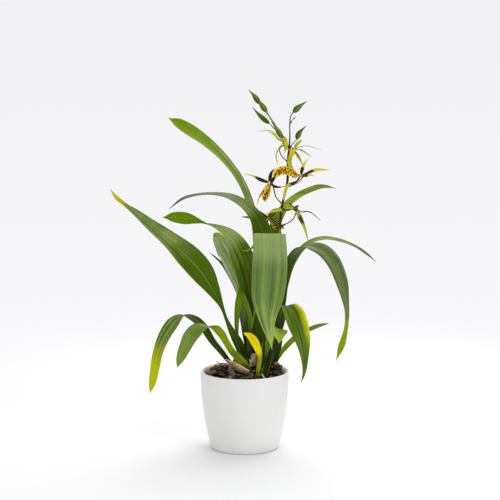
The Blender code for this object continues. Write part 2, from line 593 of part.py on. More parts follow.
def build_spike(cutters):
    """Flower spike: the stem, its side shoots and the stalks of the blooms, grown as one."""
    pieces = [tube("flower_spike", SPIKE_STEM, TUBE_STEPS, SPIKE_SIDES, "spike")]
    for points in SPIKE_BRANCHES:
        pieces.append(tube("side_shoot", points, TUBE_STEPS, STALK_SIDES, "spike"))
    for bloom in BLOOMS.values():
        face = Vector(bloom["face"]).normalized()
        back = Vector(bloom["centre"]) - face * (COLUMN_LENGTH * COLUMN_BACK + GAP)
        before = back - face * COLUMN_LENGTH / 2
        points = [(*place, STALK_RADIUS) for place in bloom["stalk"] + (tuple(before), tuple(back))]
        pieces.append(tube("stalk", points, TUBE_STEPS, STALK_SIDES, "spike"))
    spike = fuse("flower_spike", pieces)
    cut(spike, cutters["pseudobulb_centre"])


def build_buds():
    """Buds: closed, pointed and a little bent, each at the end of its side shoot."""
    for name, (foot, tip, bend, radius) in BUDS.items():
        points = []
        for share, thickness in BUD_OUTLINE:
            place = Vector(foot).lerp(Vector(tip), share) + Vector(bend) * math.sin(math.pi * share)
            points.append((*place, radius * thickness))
        tube(name, points, 1, BUD_SIDES, "bud")


def fuse_blades(name, pieces):
    """Apply each blade's thickness, then join the blades with their column."""
    bpy.context.view_layer.update()
    for piece in pieces:
        if piece.modifiers:
            solid = bpy.data.meshes.new_from_object(
                piece.evaluated_get(bpy.context.evaluated_depsgraph_get()))
            piece.modifiers.clear()
            piece.data = solid
    return fuse(name, pieces)


def build_blooms():
    """Blooms: five narrow tepals fused to a short column, and a lip of its own."""
    for name, bloom in BLOOMS.items():
        centre = Vector(bloom["centre"])
        face = Vector(bloom["face"]).normalized()
        back = centre - face * COLUMN_LENGTH * COLUMN_BACK
        front = centre + face * COLUMN_LENGTH * (1 - COLUMN_BACK)
        column = [(*back, COLUMN_END_RADIUS), (*centre, COLUMN_RADIUS), (*front, COLUMN_END_RADIUS)]
        pieces = [tube(name + "_tepals", column, TUBE_STEPS, COLUMN_SIDES, "tepal")]
        for bends in bloom["tepals"]:
            outward = Vector(bends[1])
            heading = math.degrees(math.atan2(outward.y, outward.x))
            points = [(0, 0, 0)] + list(bends)
            stations = [(*(centre + Vector(point)), width, TEPAL_ROLL)
                        for point, width in zip(points, TEPAL_WIDTHS)]
            pieces.append(blade("tepal", heading, (TEPAL_FOLD, 0), stations, PETAL_THICKNESS, "tepal"))
        fuse_blades(name + "_tepals", pieces)
        outward = Vector(bloom["lip"][-1][:3])
        heading = math.degrees(math.atan2(outward.y, outward.x))
        away = (Vector(bloom["lip"][0][:3]) - face * face.dot(Vector(bloom["lip"][0][:3]))).normalized()
        root = face * LIP_SEAT + away * (COLUMN_RADIUS + GAP + PETAL_THICKNESS / 2)
        rows = [(*root, LIP_ROOT_WIDTH)] + list(bloom["lip"])
        stations = [(*(centre + Vector(row[:3])), row[3], bloom["lip_roll"]) for row in rows]
        blade(name + "_lip", heading, (TEPAL_FOLD, 0), stations, PETAL_THICKNESS, "lip")


def build_root(cutters):
    """Aerial root, cut clear of the young shoot, and the groove it needs in the bark."""
    root = tube("aerial_root", ROOT_POINTS, TUBE_STEPS, ROOT_SIDES, "root")
    cut(root, cutters["young_shoot"])
    wider = [(x, y, z, radius + GAP) for x, y, z, radius in ROOT_POINTS]
    groove = tube("root_groove", wider, TUBE_STEPS, ROOT_SIDES, "root")
    mark_as_cutter(groove)
    return groove


clear_scene()
build_cover_pot()
build_nursery_pot()
bulb_cutters = build_bulbs()
build_leaves(bulb_cutters)
root_cutter_object = build_root(bulb_cutters)
build_bark(bulb_cutters, root_cutter_object)
build_spike(bulb_cutters)
build_buds()
build_blooms()
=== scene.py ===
# Potted cambria orchid: strap leaves, one flower spike and a white cover pot.
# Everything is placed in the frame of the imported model, in metres, +Z up, with the front towards -Y.
# The pieces follow in the order in which the plant is potted up, then the light and the camera.

import math
import random

import bmesh
import bpy
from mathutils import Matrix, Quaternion, Vector


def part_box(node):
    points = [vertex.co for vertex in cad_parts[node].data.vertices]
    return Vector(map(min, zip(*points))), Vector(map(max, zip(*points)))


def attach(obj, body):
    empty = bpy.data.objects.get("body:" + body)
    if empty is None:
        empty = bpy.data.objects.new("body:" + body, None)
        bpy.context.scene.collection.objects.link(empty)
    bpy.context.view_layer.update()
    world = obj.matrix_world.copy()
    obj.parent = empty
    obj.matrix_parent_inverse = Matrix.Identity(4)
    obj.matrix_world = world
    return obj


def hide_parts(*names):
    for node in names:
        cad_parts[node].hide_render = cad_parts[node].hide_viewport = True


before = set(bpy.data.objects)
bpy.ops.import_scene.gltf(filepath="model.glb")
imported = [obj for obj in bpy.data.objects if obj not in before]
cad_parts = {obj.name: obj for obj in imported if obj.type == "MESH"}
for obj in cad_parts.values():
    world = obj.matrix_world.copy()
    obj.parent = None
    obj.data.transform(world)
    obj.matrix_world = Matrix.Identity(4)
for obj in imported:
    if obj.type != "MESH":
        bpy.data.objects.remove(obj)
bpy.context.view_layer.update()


# Cover pot: a cast ceramic pot with a matt off-white glaze, an even wall and a round lip.
# In one soft curve it narrows towards its foot, where painted shade near the floor makes the glaze a little
# darker. The glaze has a faint orange peel and a few pin-prick pits.

MM = 0.001
POT_RIM_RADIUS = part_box("cover_pot")[1][0]
POT_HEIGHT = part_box("cover_pot")[1][2]
POT_TAPER = 16 * MM
POT_WALL = 3 * MM
POT_FOOT_ROUNDING = 2 * MM
POT_SIDES = 128
POT_OUTSIDE_STEPS = 24
POT_INSIDE_STEPS = 16
POT_FOOT_TURNS = (30, 60)
POT_LIP_TURNS = (22, 45, 68, 90, 112, 135, 158, 180)
GLAZE = (0.86, 0.857, 0.85, 1)
GLAZE_CLOUD = (0.80, 0.795, 0.785, 1)
GLAZE_FOOT_SHADE = (0.70, 0.68, 0.64, 1)
GLAZE_PIT = (0.6, 0.58, 0.55, 1)
GLAZE_FOOT_SHADE_REACH = 20 * MM


def pot_radius(z):
    """Return the cover pot's outer radius at a height."""
    return POT_RIM_RADIUS - POT_TAPER * (1 - z / POT_HEIGHT) ** 2


def turn_profile(name, profile, sides):
    """Raise a circle ring by ring along a profile of radius and height, and close both ends."""
    bpy.ops.object.select_all(action="DESELECT")
    radius, height = profile[0]
    bpy.ops.mesh.primitive_circle_add(vertices=sides, radius=radius, location=(0, 0, height),
                                      fill_type="TRIFAN")
    bpy.ops.object.transform_apply(location=True)
    piece = bpy.context.object
    piece.name = name
    piece.data.name = name
    bpy.ops.object.mode_set(mode="EDIT")
    bpy.ops.mesh.select_all(action="DESELECT")
    bpy.ops.mesh.select_non_manifold(extend=False)
    for following_radius, following_height in profile[1:]:
        rise = (0, 0, following_height - height)
        bpy.ops.mesh.extrude_edges_move(TRANSFORM_OT_translate={"value": rise})
        share = following_radius / radius
        bpy.ops.transform.resize(value=(share, share, 1), center_override=(0, 0, following_height))
        radius, height = following_radius, following_height
    bpy.ops.mesh.edge_face_add()
    bpy.ops.mesh.poke()
    bpy.ops.mesh.select_all(action="SELECT")
    bpy.ops.mesh.normals_make_consistent(inside=False)
    bpy.ops.object.mode_set(mode="OBJECT")
    bpy.ops.object.shade_smooth()
    return piece


def new_shader(name):
    """Return a new material, its node tree and its Principled shader."""
    material = bpy.data.materials.new(name)
    material.use_nodes = True
    return material, material.node_tree, material.node_tree.nodes["Principled BSDF"]


def add_node(tree, kind, values=(), **settings):
    """Add a shader node, set its properties, and fill its sockets with values or links."""
    made = tree.nodes.new("ShaderNode" + kind)
    for key, value in settings.items():
        setattr(made, key, value)
    for key, value in dict(values).items():
        if isinstance(value, bpy.types.NodeSocket):
            tree.links.new(value, made.inputs[key])
        else:
            made.inputs[key].default_value = value
    return made


def maths(tree, operation, one, two=0.0):
    """Return the result of one sum."""
    return add_node(tree, "Math", {0: one, 1: two}, operation=operation).outputs[0]


def times(tree, one, two):
    """Return one value times another."""
    return maths(tree, "MULTIPLY", one, two)


def rest_of(tree, share):
    """Return what a share leaves of 1."""
    return maths(tree, "SUBTRACT", 1.0, share)


def fade(tree, value, start, end):
    """Return a soft step from 0 at start to 1 at end."""
    return add_node(tree, "MapRange", {"Value": value, "From Min": start, "From Max": end},
                    interpolation_type="SMOOTHSTEP").outputs[0]


def mix(tree, share, one, two, blend_type="MIX"):
    """Return one colour mixed towards another."""
    values = {0: share, 6: one, 7: two}
    return add_node(tree, "Mix", values, data_type="RGBA", blend_type=blend_type).outputs[2]


def noise(tree, vector, scale, detail=3.0, roughness=0.5):
    """Return a cloudy value between 0 and 1."""
    return add_node(tree, "TexNoise", {"Vector": vector, "Scale": scale, "Detail": detail,
                                       "Roughness": roughness}).outputs["Fac"]


def place(tree, scale=(1, 1, 1)):
    """Return the object's own coordinates, stretched along its axes."""
    coordinates = add_node(tree, "TexCoord").outputs["Object"]
    return add_node(tree, "Mapping", {"Vector": coordinates, "Scale": scale}).outputs[0]


def height_above_floor(tree):
    """Return each spot's height, in metres."""
    return add_node(tree, "SeparateXYZ", {0: place(tree)}).outputs[2]


def colour_shader(tree, shader, colour, dullness, roughness, shine=0.5):
    """Give a shader its colour, a roughness that follows a dullness between two limits, and its shine."""
    tree.links.new(colour, shader.inputs["Base Color"])
    values = {"Value": dullness, "To Min": roughness[0], "To Max": roughness[1]}
    tree.links.new(add_node(tree, "MapRange", values).outputs[0], shader.inputs["Roughness"])
    shader.inputs["Specular IOR Level"].default_value = shine


def emboss_shader(tree, shader, height, strength, depth):
    """Give a shader a relief that follows a height, of the given strength and depth in metres."""
    bump = add_node(tree, "Bump", {"Height": height, "Strength": strength, "Distance": depth})
    tree.links.new(bump.outputs[0], shader.inputs["Normal"])


def pot_profile():
    """Return the closed profile of radius and height, from the underside's edge to the inner floor."""
    rounding = POT_WALL / 2
    shoulder = POT_HEIGHT - rounding
    points = [(pot_radius(0) - POT_FOOT_ROUNDING, 0)]
    for degrees in POT_FOOT_TURNS:
        turn = math.radians(degrees)
        points.append((pot_radius(0) - POT_FOOT_ROUNDING * (1 - math.sin(turn)),
                       POT_FOOT_ROUNDING * (1 - math.cos(turn))))
    for step in range(POT_OUTSIDE_STEPS + 1):
        z = POT_FOOT_ROUNDING + (shoulder - POT_FOOT_ROUNDING) * step / POT_OUTSIDE_STEPS
        points.append((pot_radius(z), z))
    for degrees in POT_LIP_TURNS:
        turn = math.radians(degrees)
        points.append((POT_RIM_RADIUS + rounding * (math.cos(turn) - 1),
                       shoulder + rounding * math.sin(turn)))
    for step in range(1, POT_INSIDE_STEPS + 1):
        z = shoulder - (shoulder - POT_WALL) * step / POT_INSIDE_STEPS
        points.append((pot_radius(z) - POT_WALL, z))
    return points


def glaze_material():
    """Matt off-white glaze with faint clouding, pin-prick pits, orange peel and painted shade at the foot.
    """
    material, tree, shader = new_shader("matt white glaze")
    clouds = noise(tree, place(tree), 14, 4)
    peel = noise(tree, place(tree), 900, 2)
    pits = fade(tree, noise(tree, place(tree), 420, 1), 0.72, 0.8)
    # Painted shade: the glaze is darkened over the lowest part of the pot, near the floor.
    foot = rest_of(tree, fade(tree, height_above_floor(tree), 0.0, GLAZE_FOOT_SHADE_REACH))
    colour = mix(tree, clouds, GLAZE_CLOUD, GLAZE)
    colour = mix(tree, times(tree, foot, 0.35), colour, GLAZE_FOOT_SHADE)
    colour = mix(tree, times(tree, pits, 0.3), colour, GLAZE_PIT)
    colour_shader(tree, shader, colour, clouds, (0.42, 0.56))
    emboss_shader(tree, shader, maths(tree, "SUBTRACT", peel, pits), 0.12, 0.3 * MM)
    return material


cover_pot = turn_profile("cover_pot_glazed", pot_profile(), POT_SIDES)
cover_pot.data.materials.append(glaze_material())
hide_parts("cover_pot")
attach(cover_pot, "root")


# Nursery pot: the thin brown plastic pot that the orchid was grown in, dropped inside the cover pot.
# Only its rim and the top of its inner wall show. It is moulded, a little see-through and dusty.

NURSERY_GAP = POT_WALL + 0.8 * MM
NURSERY_WALL = 1.1 * MM
NURSERY_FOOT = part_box("nursery_pot")[0][2]
NURSERY_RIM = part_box("nursery_pot")[1][2]
NURSERY_STEPS = 16
NURSERY_ROLL_TURNS = (45, 90, 135)
PLASTIC_IN_SHADE = (0.16, 0.10, 0.07, 1)
PLASTIC_IN_LIGHT = (0.94, 0.77, 0.62, 1)
PLASTIC_STREAK = (0.62, 0.49, 0.40, 1)
PLASTIC_DUST = (0.74, 0.61, 0.51, 1)
PLASTIC_LIGHT_FROM = 103 * MM
PLASTIC_LIGHT_FULL = 111 * MM


def nursery_radius(z):
    """Return the nursery pot's outer radius at a height."""
    return pot_radius(z) - NURSERY_GAP


def nursery_profile():
    """Return the profile from the underside's edge, over a softly rolled rim, to the inner floor."""
    roll = NURSERY_WALL / 2
    shoulder = NURSERY_RIM - roll
    points = []
    for step in range(NURSERY_STEPS + 1):
        z = NURSERY_FOOT + (shoulder - NURSERY_FOOT) * step / NURSERY_STEPS
        points.append((nursery_radius(z), z))
    rim = nursery_radius(shoulder)
    for degrees in NURSERY_ROLL_TURNS:
        turn = math.radians(degrees)
        points.append((rim + roll * (math.cos(turn) - 1), shoulder + roll * math.sin(turn)))
    for step in range(NURSERY_STEPS + 1):
        z = shoulder - (shoulder - NURSERY_FOOT - NURSERY_WALL) * step / NURSERY_STEPS
        points.append((nursery_radius(z) - NURSERY_WALL, z))
    return points


def nursery_material():
    """Brown moulded plastic with dust and drawn streaks, painted shade low down and painted light at the
    rim.
    """
    material, tree, shader = new_shader("brown nursery plastic")
    streaks = noise(tree, place(tree, (60, 60, 6)), 1, 4)
    dust = noise(tree, place(tree), 180, 5, 0.65)
    # Painted light and shade: the wall is dark low down and pale near the rim, where light comes through it.
    lit = fade(tree, height_above_floor(tree), PLASTIC_LIGHT_FROM, PLASTIC_LIGHT_FULL)
    colour = mix(tree, lit, PLASTIC_IN_SHADE, PLASTIC_IN_LIGHT)
    colour = mix(tree, times(tree, streaks, 0.4), colour, PLASTIC_STREAK)
    colour = mix(tree, fade(tree, dust, 0.55, 0.8), colour, PLASTIC_DUST)
    colour_shader(tree, shader, colour, dust, (0.32, 0.7))
    emboss_shader(tree, shader, streaks, 0.25, 0.2 * MM)
    return material


nursery_pot = turn_profile("nursery_pot_moulded", nursery_profile(), POT_SIDES)
nursery_pot.data.materials.append(nursery_material())
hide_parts("nursery_pot")
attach(nursery_pot, "root")


# Bark mix: damp, dark chunks of pine bark, some with pale patches that are partly freshly split faces and
# partly painted highlights, and crumbs among them. It fills the nursery pot and is heaped up at the right
# and at the left. Chips lie loose on top.

BARK_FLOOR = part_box("bark_mix")[0][2]
BARK_AT_WALL = 110 * MM
BARK_MOUND = 9 * MM
BARK_CLEARANCE = NURSERY_WALL + 0.6 * MM
# Each heap: its x and y, how high it rises and how far it reaches.
BARK_HEAPS = ((51 * MM, -5 * MM, 19 * MM, 7.5 * MM), (-38 * MM, -2 * MM, 12 * MM, 18 * MM))
BED_SIDES = 96
BED_WALL_STEPS = 8
BED_TOP_STEPS = 24
BED_BELOW_CHIPS = 1.5 * MM
BED_LUMPS = (-1.6, 0.4)
# No chip lies in this lane, from x to x and in front of y, because the aerial root does.
ROOT_LANE = (24 * MM, 37 * MM, -22 * MM)
CHIP_SHAPES = 9
CHIP_CORNERS = 0.22
CHIP_EDGE_ANGLE = 40
CHIP_FROM_WALL = 0.62
CHIP_TILTS = (0.45, 0.4)
HEAPED_CHIP = 0.72
# Each layer: how many chips, their length, width and depth in millimetres, how far their middles lie
# below and above the surface, the seed, and how much of the way to the wall they reach.
CHIP_LAYERS = {
    "bark_chips": (190, ((10, 19), (8, 14), (5, 9)), (-3.0, 2.6), 21, 1.0),
    "bark_crumbs": (200, ((2, 6), (1.5, 5), (1, 3)), (-0.6, 2.6), 8, 0.98),
}
BARK_DARK = (0.004, 0.003, 0.002, 1)
BARK_BROWN = (0.205, 0.105, 0.055, 1)
BARK_PALE_AND_HIGHLIGHT = (0.46, 0.33, 0.21, 1)


def bark_height(x, y):
    """Return the height of the bark's surface: a mound, with a heap at the right and one at the left."""
    share = min(math.hypot(x, y) / nursery_radius(BARK_AT_WALL), 1)
    height = BARK_AT_WALL + BARK_MOUND * (1 - share * share)
    for heap_x, heap_y, rise, reach in BARK_HEAPS:
        away = math.hypot(x - heap_x, y - heap_y) / reach
        height += rise * math.exp(-away * away)
    return height


def bark_bed():
    """Turn the body of the mix, then lift its top in small lumps."""
    points = []
    for step in range(BED_WALL_STEPS + 1):
        z = BARK_FLOOR + (BARK_AT_WALL - BARK_FLOOR) * step / BED_WALL_STEPS
        points.append((nursery_radius(z) - BARK_CLEARANCE, z))
    wall = points[-1][0]
    for step in range(1, BED_TOP_STEPS):
        points.append((wall * (1 - step / BED_TOP_STEPS), BARK_AT_WALL))
    bed = turn_profile("bark_bed", points, BED_SIDES)
    draw = random.Random(4)
    for vert in bed.data.vertices:
        if vert.co.z > BARK_AT_WALL - 0.1 * MM:
            lump = 0 if vert.co.xy.length > wall * 0.97 else draw.uniform(*BED_LUMPS) * MM
            vert.co.z = bark_height(vert.co.x, vert.co.y) - BED_BELOW_CHIPS + lump
    return bed


def chip_shape(draw):
    """Break a small block into one uneven chip: pressed, bevelled and chipped. Return its mesh."""
    bpy.ops.object.select_all(action="DESELECT")
    bpy.ops.mesh.primitive_cube_add(size=1)
    block = bpy.context.object
    for vert in block.data.vertices:
        vert.co.x *= draw.uniform(0.7, 1.15)
        vert.co.y *= draw.uniform(0.6, 1.2)
        vert.co.z *= draw.uniform(0.6, 1.2)
    bpy.ops.object.mode_set(mode="EDIT")
    bpy.ops.mesh.bevel(offset=CHIP_CORNERS, segments=1)
    bpy.ops.mesh.quads_convert_to_tris()
    bpy.ops.object.mode_set(mode="OBJECT")
    shape = block.data
    for vert in shape.vertices:
        vert.co *= draw.uniform(0.84, 1.16)
    bpy.data.objects.remove(block)
    return shape


def mesh_piece(name, mesh):
    """Put a smooth mesh into the scene as a piece of its own."""
    mesh.shade_smooth()
    piece = bpy.data.objects.new(name, mesh)
    bpy.context.scene.collection.objects.link(piece)
    return piece


def scatter_chips(name, count, sizes, rise, seed, reach):
    """Drop copies of the chip shapes over the bed, clear of the root, with a tint for each chip."""
    draw = random.Random(seed)
    shapes = [chip_shape(draw) for index in range(CHIP_SHAPES)]
    wall = nursery_radius(BARK_AT_WALL) - BARK_CLEARANCE
    layer = bmesh.new()
    tint = layer.verts.layers.float.new("tint")
    for index in range(count):
        size = Vector([draw.uniform(*limits) * MM for limits in sizes])
        radius = (wall - max(size.x, size.y) * CHIP_FROM_WALL) * math.sqrt(draw.random()) * reach
        angle = draw.uniform(0, math.tau)
        x, y = radius * math.cos(angle), radius * math.sin(angle)
        if index % 3 == 0:
            heap = BARK_HEAPS[index // 3 % 2]
            x = heap[0] + draw.gauss(0, 0.5) * heap[3]
            y = heap[1] + draw.gauss(0, 0.5) * heap[3]
            size *= HEAPED_CHIP
            if math.hypot(x, y) > wall - size.x * CHIP_FROM_WALL:
                continue
        if ROOT_LANE[0] < x < ROOT_LANE[1] and y < ROOT_LANE[2]:
            continue
        turn = Quaternion((0, 0, 1), draw.uniform(0, math.tau))
        turn = turn @ Quaternion((1, 0, 0), draw.gauss(0, CHIP_TILTS[0]))
        turn = turn @ Quaternion((0, 1, 0), draw.gauss(0, CHIP_TILTS[1]))
        centre = Vector((x, y, bark_height(x, y) + draw.uniform(*rise) * MM))
        shade = draw.random()
        before = len(layer.verts)
        layer.from_mesh(shapes[draw.randrange(CHIP_SHAPES)])
        layer.verts.ensure_lookup_table()
        for vert in layer.verts[before:]:
            vert.co = centre + turn @ Vector((vert.co.x * size.x, vert.co.y * size.y, vert.co.z * size.z))
            vert[tint] = shade
    mesh = bpy.data.meshes.new(name)
    layer.to_mesh(mesh)
    layer.free()
    piece = mesh_piece(name, mesh)
    mesh.set_sharp_from_angle(angle=math.radians(CHIP_EDGE_ANGLE))
    return piece


def bark_material():
    """Damp bark: dark cork with a corky grain, pale patches that are partly split layers and partly painted
    highlights, and each chip its own tone.
    """
    material, tree, shader = new_shader("damp bark")
    shade = add_node(tree, "Attribute", attribute_name="tint").outputs["Fac"]
    grain = noise(tree, place(tree, (1, 1, 2.2)), 210, 5, 0.65)
    patches = noise(tree, place(tree), 90, 3)
    layers = add_node(tree, "TexVoronoi", {"Vector": place(tree, (1, 1, 4)), "Scale": 190.0})
    own = mix(tree, fade(tree, shade, 0.1, 0.8), BARK_DARK, BARK_BROWN)
    colour = mix(tree, fade(tree, grain, 0.40, 0.62), BARK_DARK, own)
    # Pale patches on the paler chips: partly split bark layers, partly painted highlights.
    pale_and_highlight = times(tree, fade(tree, patches, 0.52, 0.60), fade(tree, shade, 0.5, 0.9))
    colour = mix(tree, times(tree, pale_and_highlight, 0.85), colour, BARK_PALE_AND_HIGHLIGHT)
    relief = maths(tree, "ADD", grain, times(tree, layers.outputs["Distance"], 0.6))
    colour_shader(tree, shader, colour, grain, (0.20, 0.62), 0.36)
    emboss_shader(tree, shader, relief, 0.7, 0.9 * MM)
    return material


damp_bark = bark_material()
bark_pieces = [bark_bed()] + [scatter_chips(name, *layer) for name, layer in CHIP_LAYERS.items()]
for piece in bark_pieces:
    piece.data.materials.append(damp_bark)
    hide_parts("bark_mix")
    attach(piece, "root")


# Pseudobulbs and the young shoot: swollen green stems that store water, flattened and ribbed.
# They shade from green, dark on the left one, to a brownish foot, where old scars ring them.

# Each bulb: the x and y of its middle, its lowest and highest z, and its half widths, in millimetres.
BULBS = {
    "pseudobulb_left": (-7, -5, 104, 154, 14, 11),
    "pseudobulb_centre": (14, 12, 102, 151, 14, 13),
    "pseudobulb_right": (41, 7, 104, 140, 8, 10),
    "young_shoot": (21, -22, 104, 130, 4.4, 4.6),
}
BULB_TAPER = {"young_shoot": 0.62}
PLAIN_TAPER = 0.28
BULB_RIBS = 9
BULB_RIB_DEPTH = 0.022
BULB_RING_PACE = 26
BULB_RING_DEPTH = 0.02
BULB_RINGS_UP_TO = 0.2
# Each skin: its green, the colour of its foot, and the height of that foot.
BULB_COLOURS = {
    "pseudobulb_left": ((0.022, 0.040, 0.002, 1), (0.03, 0.035, 0.01, 1), 108 * MM),
    "pseudobulb_centre": ((0.12, 0.19, 0.006, 1), (0.05, 0.035, 0.015, 1), 134 * MM),
    "pseudobulb_right": ((0.05, 0.085, 0.005, 1), (0.10, 0.07, 0.03, 1), 112 * MM),
    "young_shoot": ((0.10, 0.15, 0.006, 1), (0.06, 0.06, 0.01, 1), 110 * MM),
}
BULB_SCAR = (0.05, 0.03, 0.015, 1)
BULB_FOOT_FADE = 18 * MM


def bulb_piece(name, size):
    """Shape a sphere into one bulb: stretched, narrowed at the top, ribbed and ringed."""
    x, y, low, high, across, deep = [value * MM for value in size]
    bpy.ops.object.select_all(action="DESELECT")
    bpy.ops.mesh.primitive_uv_sphere_add(segments=64, ring_count=40, radius=1)
    bulb = bpy.context.object
    bulb.name = name + "_ribbed"
    for vert in bulb.data.vertices:
        around = math.atan2(vert.co.y, vert.co.x)
        taper = 1 - BULB_TAPER.get(name, PLAIN_TAPER) * max(vert.co.z, 0) ** 2
        rib = 1 - BULB_RIB_DEPTH * (1 + math.cos(BULB_RIBS * around)) * (1 - vert.co.z ** 4)
        ridge = max(0, math.cos(vert.co.z * BULB_RING_PACE)) ** 6
        ring = 1 - BULB_RING_DEPTH * ridge * (vert.co.z < BULB_RINGS_UP_TO)
        vert.co.x = x + vert.co.x * taper * rib * ring * across
        vert.co.y = y + vert.co.y * taper * rib * ring * deep
        vert.co.z = (high + low) / 2 + vert.co.z * (high - low) / 2
    bpy.ops.object.shade_smooth()
    return bulb


def bulb_material(name, green, foot, foot_height):
    """Smooth green skin with fine upright lines, turning brown and scarred towards the foot."""
    material, tree, shader = new_shader(name + " skin")
    lines = noise(tree, place(tree, (900, 900, 28)), 1, 3)
    mottle = noise(tree, place(tree), 120, 4)
    uneven = maths(tree, "ADD", height_above_floor(tree), times(tree, mottle, 14 * MM))
    low = rest_of(tree, fade(tree, uneven, foot_height, foot_height + BULB_FOOT_FADE))
    pale = tuple(channel * 1.5 for channel in green[:3]) + (1,)
    colour = mix(tree, fade(tree, lines, 0.4, 0.7), green, pale)
    colour = mix(tree, low, colour, foot)
    scarred = times(tree, fade(tree, mottle, 0.56, 0.7), low)
    colour = mix(tree, times(tree, scarred, 0.7), colour, BULB_SCAR)
    colour_shader(tree, shader, colour, low, (0.34, 0.75))
    emboss_shader(tree, shader, maths(tree, "ADD", lines, mottle), 0.35, 0.4 * MM)
    return material


for name, size in BULBS.items():
    bulb = bulb_piece(name, size)
    bulb.data.materials.append(bulb_material(name, *BULB_COLOURS[name]))
    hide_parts(name)
    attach(bulb, "root")


# Green sheaths: the bases of leaves that wrap the left bulb and fan out beside the right bulb and the
# young shoot, and three narrow inner blades that show between the leaves. They are thick and keeled,
# with a pale thin margin, and grow as the leaves do, each from the shoot that it wraps.

# Each sheath: heading in degrees, how far its two halves fold up, and its stations from base to tip
# as x, y, z, width and roll, in millimetres and degrees.
GREEN_SHEATHS = {
    "pseudobulb_left": (
        (185, 8, (
            (5, -20, 118, 12, 62), (1, -22, 127, 19, 62), (-5, -23, 138, 19, 62), (-12, -22, 149, 14, 62),
            (-20, -21, 159, 9, 60))),
    ),
    "young_shoot": (
        (-80, 8, (
            (30, -22, 108, 7, 0), (33, -21, 128, 10, -4), (38, -19, 148, 10, -10), (43, -17, 164, 3, -12))),
        (-60, 8, (
            (32, -16, 108, 8, 10), (37, -12, 128, 12, 10), (42, -9, 150, 12, 10), (48, -8, 172, 3, 10))),
    ),
    "leaf_inner_folded": (
        (165, 12, (
            (8, -9, 142, 5, -75), (7, -14, 166, 5, -75), (9, -18, 199, 5.5, -75), (7, -21, 220, 7, -72),
            (2, -23, 235, 7, -70), (-1, -24, 245, 5, -68), (-3, -24, 254, 1, -68))),
        (165, 12, (
            (30, -30, 150, 5, -75), (30, -33, 220, 6, -75), (26, -36, 300, 5, -70),
            (17, -38, 325, 3.5, -55), (10, -38, 321.5, 3.5, -40), (4, -38, 318.5, 4.5, -30),
            (-3, -38, 318.5, 1.5, -30))),
        (165, 12, (
            (5, -30, 160, 3, -80), (7.5, -30, 180, 3.5, -80), (10.5, -30, 197, 3.5, -80),
            (14, -30, 214, 3, -80), (18, -30, 232, 2, -80))),
    ),
    "pseudobulb_right": (
        (-80, 8, ((38, -4, 106, 10, 10), (37, -5, 130, 14, 6), (34, -6, 156, 13, 0), (31, -8, 186, 3, 0))),
    ),
}
# How many pleats each half of a sheath has, and how deep they are in millimetres.
GREEN_SHEATH_PLEATS = (2, 0.1)
GREEN_SHEATH_SEED = 40
BLADE_STEPS = 9
BLADE_COLUMNS = 28
BLADE_THICKNESS = 0.5 * MM
NARROWEST_STATION = 0.3
# How many degrees more a blade folds at its foot and up to where, how round the fold is, how much of the
# tip is rounded off, how far the margins curl, and the half width from which its pleats are full.
BASE_FOLD = 36
FOLD_REACH = 0.28
RIB_SHARE = 0.07
TIP_SHARE = 0.04
MARGIN_CURL = 0.05
FULL_PLEATS_FROM = 8 * MM

# The greens that several looks share, then the tones of the surface that every blade has.
FRESH = (0.195, 0.305, 0.012, 1)
DEEP = (0.080, 0.150, 0.004, 1)
DULL = (0.125, 0.200, 0.032, 1)
LIME = (0.30, 0.40, 0.004, 1)
# The next two greens are painted shade, for feet and sheaths that stand deep among the leaves.
SHADE = (0.050, 0.105, 0.001, 1)
DEEP_SHADE = (0.014, 0.030, 0.001, 1)
VEIN_TINT = (1.3, 1.25, 1.4, 1)
STREAK_AND_VALLEY_SHADE = (0.45, 0.5, 0.4, 1)
PAINTED_SHEEN = (0.30, 0.37, 0.20, 1)
CREST_HIGHLIGHT = (0.36, 0.47, 0.17, 1)
YELLOW_MARGIN = (0.64, 0.68, 0.003, 1)
FOOT_VEIN_TINT = (1.9, 1.7, 2.0, 1)
LOWEST_FOOT_SHADE = (0.45, 0.45, 0.5, 1)
MIDRIB = (0.46, 0.56, 0.10, 1)
PALE_EDGE = (0.46, 0.54, 0.20, 1)
UNDERSIDE_TINT = (0.85, 0.86, 1.0, 1)

